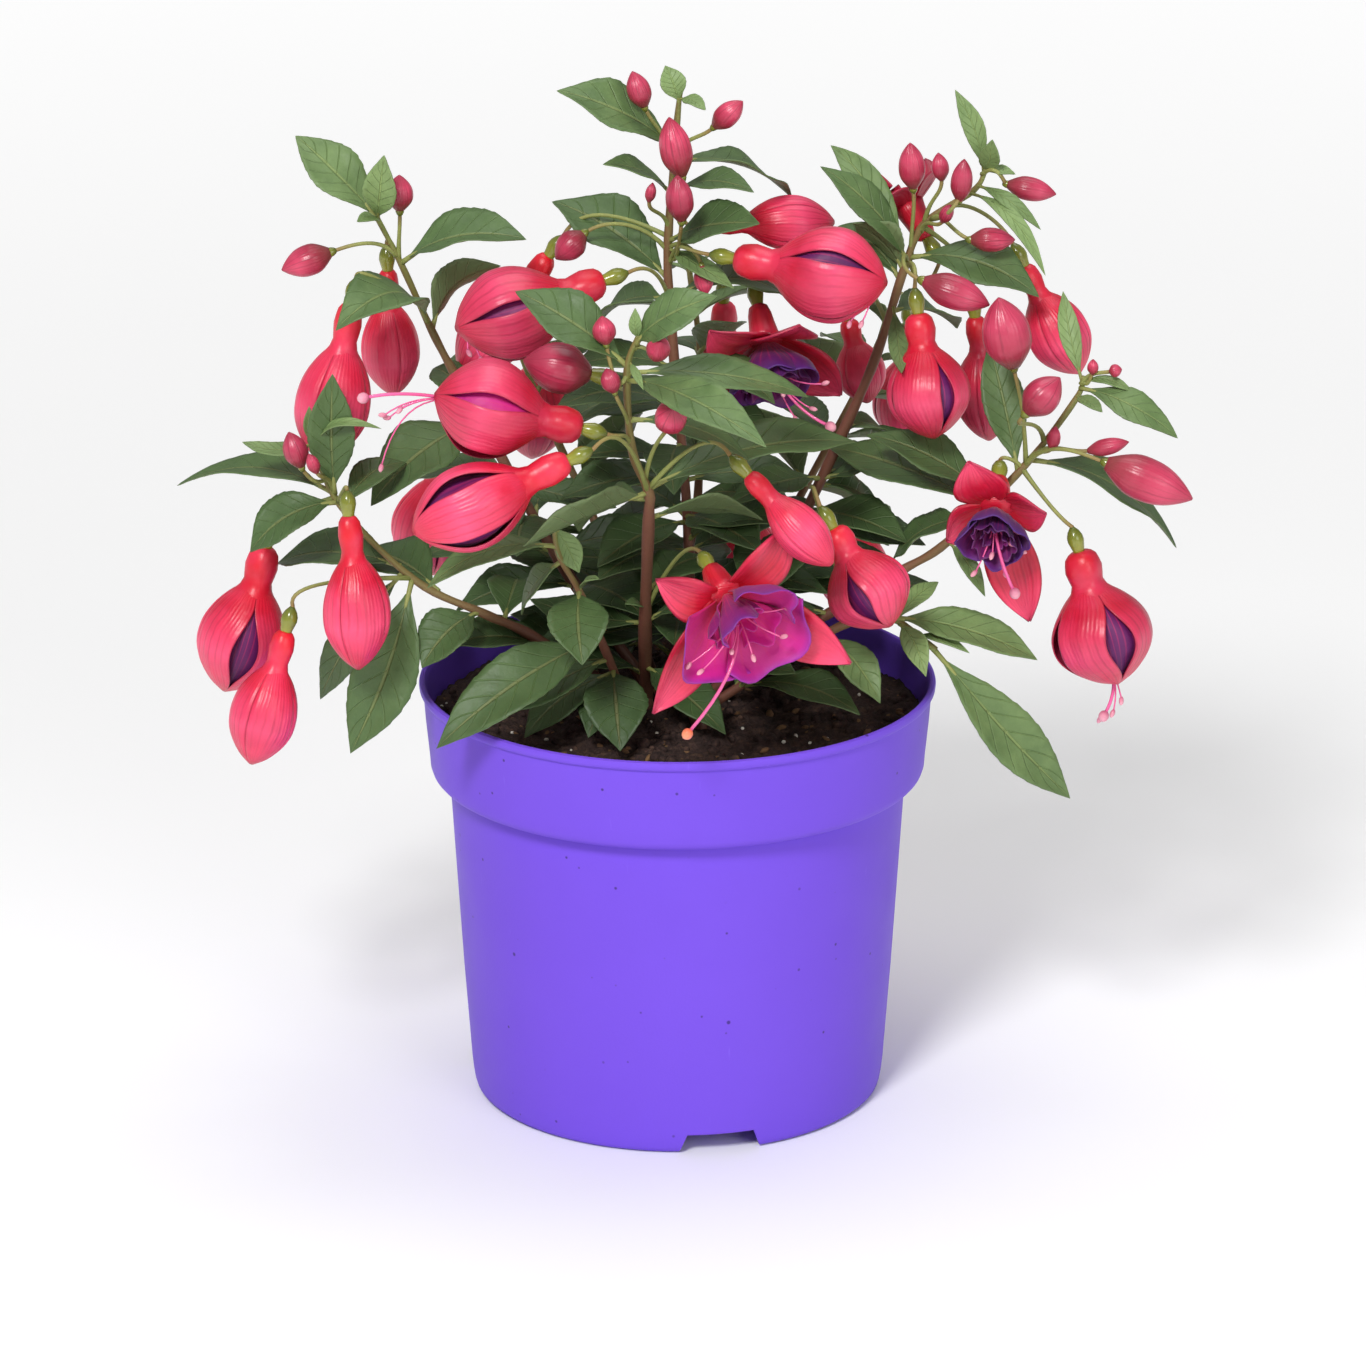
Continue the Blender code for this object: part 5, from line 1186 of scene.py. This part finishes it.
def add_open_sepal(skin, inside, way, tip, width, tone, rng):
    """A sepal that arches out of the tube and back."""
    u = (tip - inside) - way * (tip - inside).dot(way)
    out = u.normalized()
    a = inside + out * 2.6 * MM
    reach = (tip - a).length
    c = a + (way * 0.35 + out * 0.65).normalized() * reach * 0.48
    t = np.linspace(0, 1, 26)
    a, c, b, w = arr(a, c, tip, way)
    centre = a * ((1 - t) ** 2)[:, None] + c * (2 * t * (1 - t))[:, None] + b * (t * t)[:, None]
    along = unit(np.gradient(centre, axis=0))
    side = unit(np.cross(along, w) + 1e-6)
    inner = unit(np.cross(side, along))
    s = np.array([1.0, 0.85, 0.6, 0.3, 0.0, -0.3, -0.6, -0.85, -1.0])
    t = t[:, None]
    half = smooth_values(OPEN_SEPAL, t) * width / 2
    cup = half * (0.22 * s**2 + 0.05 * np.cos(3 * math.pi * s)) + 0.4 * MM * np.sin(5 * t + 3 * s) * s**2
    points = centre[:, None] + side[:, None] * (half * s)[..., None] + inner[:, None] * cup[..., None]
    if (np.cross(along[5], -side[5]) * inner[5]).sum() < 0:
        points, s = points[:, ::-1], s[::-1]
    shade = tone + rng.uniform(-0.1, 0.1)
    skin.sheet(points, 0.12 + 0.56 * t, s[None, :], shade, "sepal", 0.5 * MM)


def add_petals(skin, mouth, way, radius, length, magenta, hood, layers, rng):
    """A double corolla: overlapping ruffled petals round a tighter set of folded ones."""
    radius, length = radius * MM, length * MM
    u, v = facing(way)
    m, w, u, v = arr(mouth, way, u, v)
    t = np.linspace(0, 1, 22)[:, None]
    s = np.linspace(1, -1, 19)[None, :]
    fan = smooth_values([(0, 0.20), (0.25, 0.48), (0.6, 0.84), (1.0, 1.0)], t)
    for layer, (count, spread, share, long) in enumerate(layers):
        for k in range(count):
            phase = rng.random() * 6.3
            middle = math.radians(360 / count * (k + 0.5 * layer) + rng.uniform(-10, 10) + 20)
            phi = middle + s * math.radians(spread) * (0.75 + 0.25 * t)
            near = max(0.0, math.cos(middle))
            r = radius * share * fan * (1 + 0.10 * np.cos(math.pi * s)) * (1 - hood * near)
            ruffle = np.sin(7.0 * s + phase) * t**1.5
            r = r + radius * 0.06 * ruffle
            rim = 1.0 - 0.16 * np.abs(s) ** 3 + 0.05 * np.sin(5 * s + phase)
            reach = length * long * rng.uniform(0.9, 1.08) * (1 + 0.5 * hood * near)
            z = reach * t * rim * (1 - 0.12 * t) + 0.5 * MM * np.cos(9 * s + phase) * t**2
            points = m + w * z[..., None] + spoke(u, v, phi) * r[..., None]
            tone = min(1.0, max(0.0, magenta + rng.uniform(-0.08, 0.08)))
            skin.sheet(points, t * (1.0 if layer == 0 else 0.8), s, tone, "corolla", 0.28 * MM)


def add_bud(skin, base, tip, width, rng):
    """A slim bud with four seams and a green foot."""
    way = (tip - base).normalized()
    length = (tip - base).length
    u, v = facing(way)
    b, w, u, v = arr(base, way, u, v)
    turn = rng.random() * 1.57
    t, phi = np.meshgrid(np.linspace(0, 1, 20), np.arange(24) * 2 * math.pi / 24, indexing="ij")
    saddle = 1 - 0.5 * np.abs(np.sin(2 * (phi - turn)))
    r = smooth_values(BUD, t) * width / 2 * (0.98 + 0.07 * saddle**3)
    rings = b + w * (t * length)[..., None] + r[..., None] * spoke(u, v, phi)
    across = np.abs(np.mod((phi - turn) / (math.pi / 2), 1.0) * 2 - 1)
    skin.rings(rings, rings[0].mean(0), rings[-1].mean(0), "bud", t, across, rng.uniform(0.3, 0.8))
    if width > 4.6 * MM:
        scale = min(1.0, width / (8 * MM))
        add_ovary(skin, base, way, [(a * scale, r * scale) for a, r in BUD_FOOT])


def shift_of(tree, tips):
    choice = fit(tree, SHIFTS, lambda k: [p + DEPTH * k * MM for p in tips], 3 * MM)
    return DEPTH * (choice or 0) * MM


def grow_flowers(paths, stalks):
    for name, shoot, kind, start, tip, width, root, via in FLOWERS + REAR_FLOWERS:
        rng = random.Random("flower " + name)
        node, skin = "flower_" + name, Skin()
        start, tip = place(start), place(tip)
        tips = [place(p) for p in OPEN_SEPALS.get(name, [])]
        move = shift_of(vertex_tree(node), tips or [tip])
        start, tip, tips = start + move, tip + move, [p + move for p in tips]
        way = (tip - start).normalized()
        add_ovary(skin, start, way)
        # the flower's own deeper red, with painted shade added for dark_centre
        tone = rng.uniform(0.30, 0.50) + DEEPER_RED_AND_SHADE.get(name, 0.0)
        if kind == "open":
            path = [start + way * (tip - start).length * t for t in (0, 0.05, 0.25, 0.5, 0.75, 1.0)]
            skin.tube(path, [r * MM for r in (1.7, 2.4, 3.0, 3.3, 3.7, 4.3)], 24, tone, "sepal", (0.0, 0.3))
            for end in tips:
                add_open_sepal(skin, tip - way * 1.0 * MM, way, end, OPEN_WIDTHS[name] * MM, tone, rng)
        elif name in UNOPENED:
            add_bud(skin, start, tip, width * MM, rng)
        else:
            turn, gaps = SLITS.get(name, (rng.uniform(20, 70), (0, 0, 0, 0)))
            add_balloon(skin, start, tip, width * MM, turn, gaps, MAGENTA_INSIDE.get(name, 0.1), tone, rng)
        inside = tip if kind == "open" else start + (tip - start) * 0.8
        if name not in PETALS:
            add_stamens(skin, name, inside, way, move, rng)
        finish_piece(skin.build("visual_" + node, MATERIALS), "sepals", node)
        if name in PETALS:
            petals = Skin()
            add_petals(petals, tip + way * 0.8 * MM, way, *PETALS[name], rng)
            add_stamens(petals, name, inside, way, move, rng)
            finish_piece(petals.build("visual_corolla_" + name, MATERIALS), "corolla", "corolla_" + name)
        end = start - way * (6.0 * MM + 1.6 * GAP)
        stalks[shoot].append((nearest_on(paths[shoot], place(root)), via and place(via), end, way, 0.6 * MM))


def add_stamens(skin, name, inside, way, move, rng):
    for end in FILAMENTS.get(name, []):
        add_filament(skin, inside, way, place(end) + move, rng)
    if name in STYLES:
        knob = "anther" if name in PINK_STIGMA else "stigma"
        add_filament(skin, inside, way, place(STYLES[name]) + move, rng, knob)


def grow_buds(paths, stalks, small):
    rows = [(shoot, *bud) for shoot, buds in BUDS.items() for bud in buds]
    for shoot, name, base, tip, width, root, own in rows:
        node = "bud_" + name if own else "shoot_" + shoot
        base, tip = place(base), place(tip)
        move = shift_of(vertex_tree(node), [tip])
        base, tip = base + move, tip + move
        way = (tip - base).normalized()
        root = nearest_on(paths[shoot], place(root))
        if own:
            skin = Skin()
            add_bud(skin, base, tip, width * MM, random.Random("bud " + name))
            finish_piece(skin.build("visual_" + node, MATERIALS), "buds", node)
            stalks[shoot].append((root, None, base - way * GAP * 1.2, way, 0.0))
        else:
            small[shoot].append((base, tip, width * MM))
            stalks[shoot].append((root, None, base + way * 1.0 * MM, way, 0.0))


# ---------------------------------------------------------------- the whole object, then the studio


LAMPS = [  # name, place in metres, size, power
    ("key", (-0.5, -1.5, 1.5), 0.5, 31),
    ("fill", (0.9, -1.4, 0.7), 0.9, 7),
    ("top", (0.1, 0.3, 1.6), 1.2, 9),
]
LAMPS_AIM = Vector((0, 0, 0.15))
SKY_LIGHT = 0.32
FLOOR_HALF, FLOOR_DROP = 4.0, -0.0004  # half its side, and its place just under the foot
FLOOR_GLOW, GLOW_FROM_TO = 0.45, (0.25, 1.6)  # the far floor shines, so that it stays white
CAMERA_AT, CAMERA_AIM, LENS = Vector((0.0, -1.6, 0.659)), Vector((0.0014, 0.0, 0.1061)), 177.3


def main():
    make_pot()
    make_soil()
    paths = plan_paths()
    stalks = {shoot: [] for shoot in paths}
    small = {shoot: [] for shoot in paths}
    grow_flowers(paths, stalks)
    grow_buds(paths, stalks, small)
    grow_shoots(paths, stalks, small)


def add_floor(material):
    mesh = bpy.data.meshes.new("studio_floor")
    corners = [(-1, -1), (1, -1), (1, 1), (-1, 1)]
    mesh.from_pydata([(x * FLOOR_HALF, y * FLOOR_HALF, 0) for x, y in corners], [], [(0, 1, 2, 3)])
    mesh.materials.append(material)
    obj = bpy.data.objects.new("studio_floor", mesh)
    obj.location = (0, 0, FLOOR_DROP)
    bpy.context.scene.collection.objects.link(obj)


def add_lamp(name, at, size, power):
    data = bpy.data.lights.new(name, "AREA")
    data.shape, data.size, data.energy = "DISK", size, power
    lamp = bpy.data.objects.new(name, data)
    lamp.location = at
    lamp.rotation_euler = (LAMPS_AIM - Vector(at)).to_track_quat("-Z", "Y").to_euler()
    bpy.context.scene.collection.objects.link(lamp)


def studio():
    g = Graph("studio_floor")
    away = g.node("ShaderNodeVectorMath", operation="LENGTH")
    g.link(g.spot(), away.inputs[0])
    glow = g.times(g.step(away.outputs["Value"], *GLOW_FROM_TO), FLOOR_GLOW)
    white = g.mix(g.noise(3.0), (0.93, 0.93, 0.93), (0.95, 0.95, 0.95))
    floor = g.finish(
        white, 0.9, Specular_IOR_Level=0.1, Emission_Color=(1.0, 1.0, 1.0), Emission_Strength=glow
    )
    add_floor(floor)
    world = bpy.data.worlds.new("studio")
    world.use_nodes = True
    sky = world.node_tree.nodes["Background"]
    sky.inputs["Color"].default_value = (1.0, 1.0, 1.0, 1.0)
    seen = world.node_tree.nodes.new("ShaderNodeLightPath")
    bright = world.node_tree.nodes.new("ShaderNodeMapRange")  # white to the camera, dimmer as a light
    bright.inputs["To Min"].default_value, bright.inputs["To Max"].default_value = SKY_LIGHT, 1.0
    world.node_tree.links.new(seen.outputs["Is Camera Ray"], bright.inputs["Value"])
    world.node_tree.links.new(bright.outputs["Result"], sky.inputs["Strength"])
    bpy.context.scene.world = world
    for lamp in LAMPS:
        add_lamp(*lamp)
    camera = bpy.data.cameras.new("camera")
    camera.lens, camera.sensor_width, camera.clip_start = LENS, 36.0, 0.05
    obj = bpy.data.objects.new("camera", camera)
    obj.location = CAMERA_AT
    obj.rotation_euler = (CAMERA_AIM - CAMERA_AT).to_track_quat("-Z", "Y").to_euler()
    bpy.context.scene.collection.objects.link(obj)
    bpy.context.scene.camera = obj
    bpy.context.scene.view_settings.view_transform = "Standard"


main()
studio()
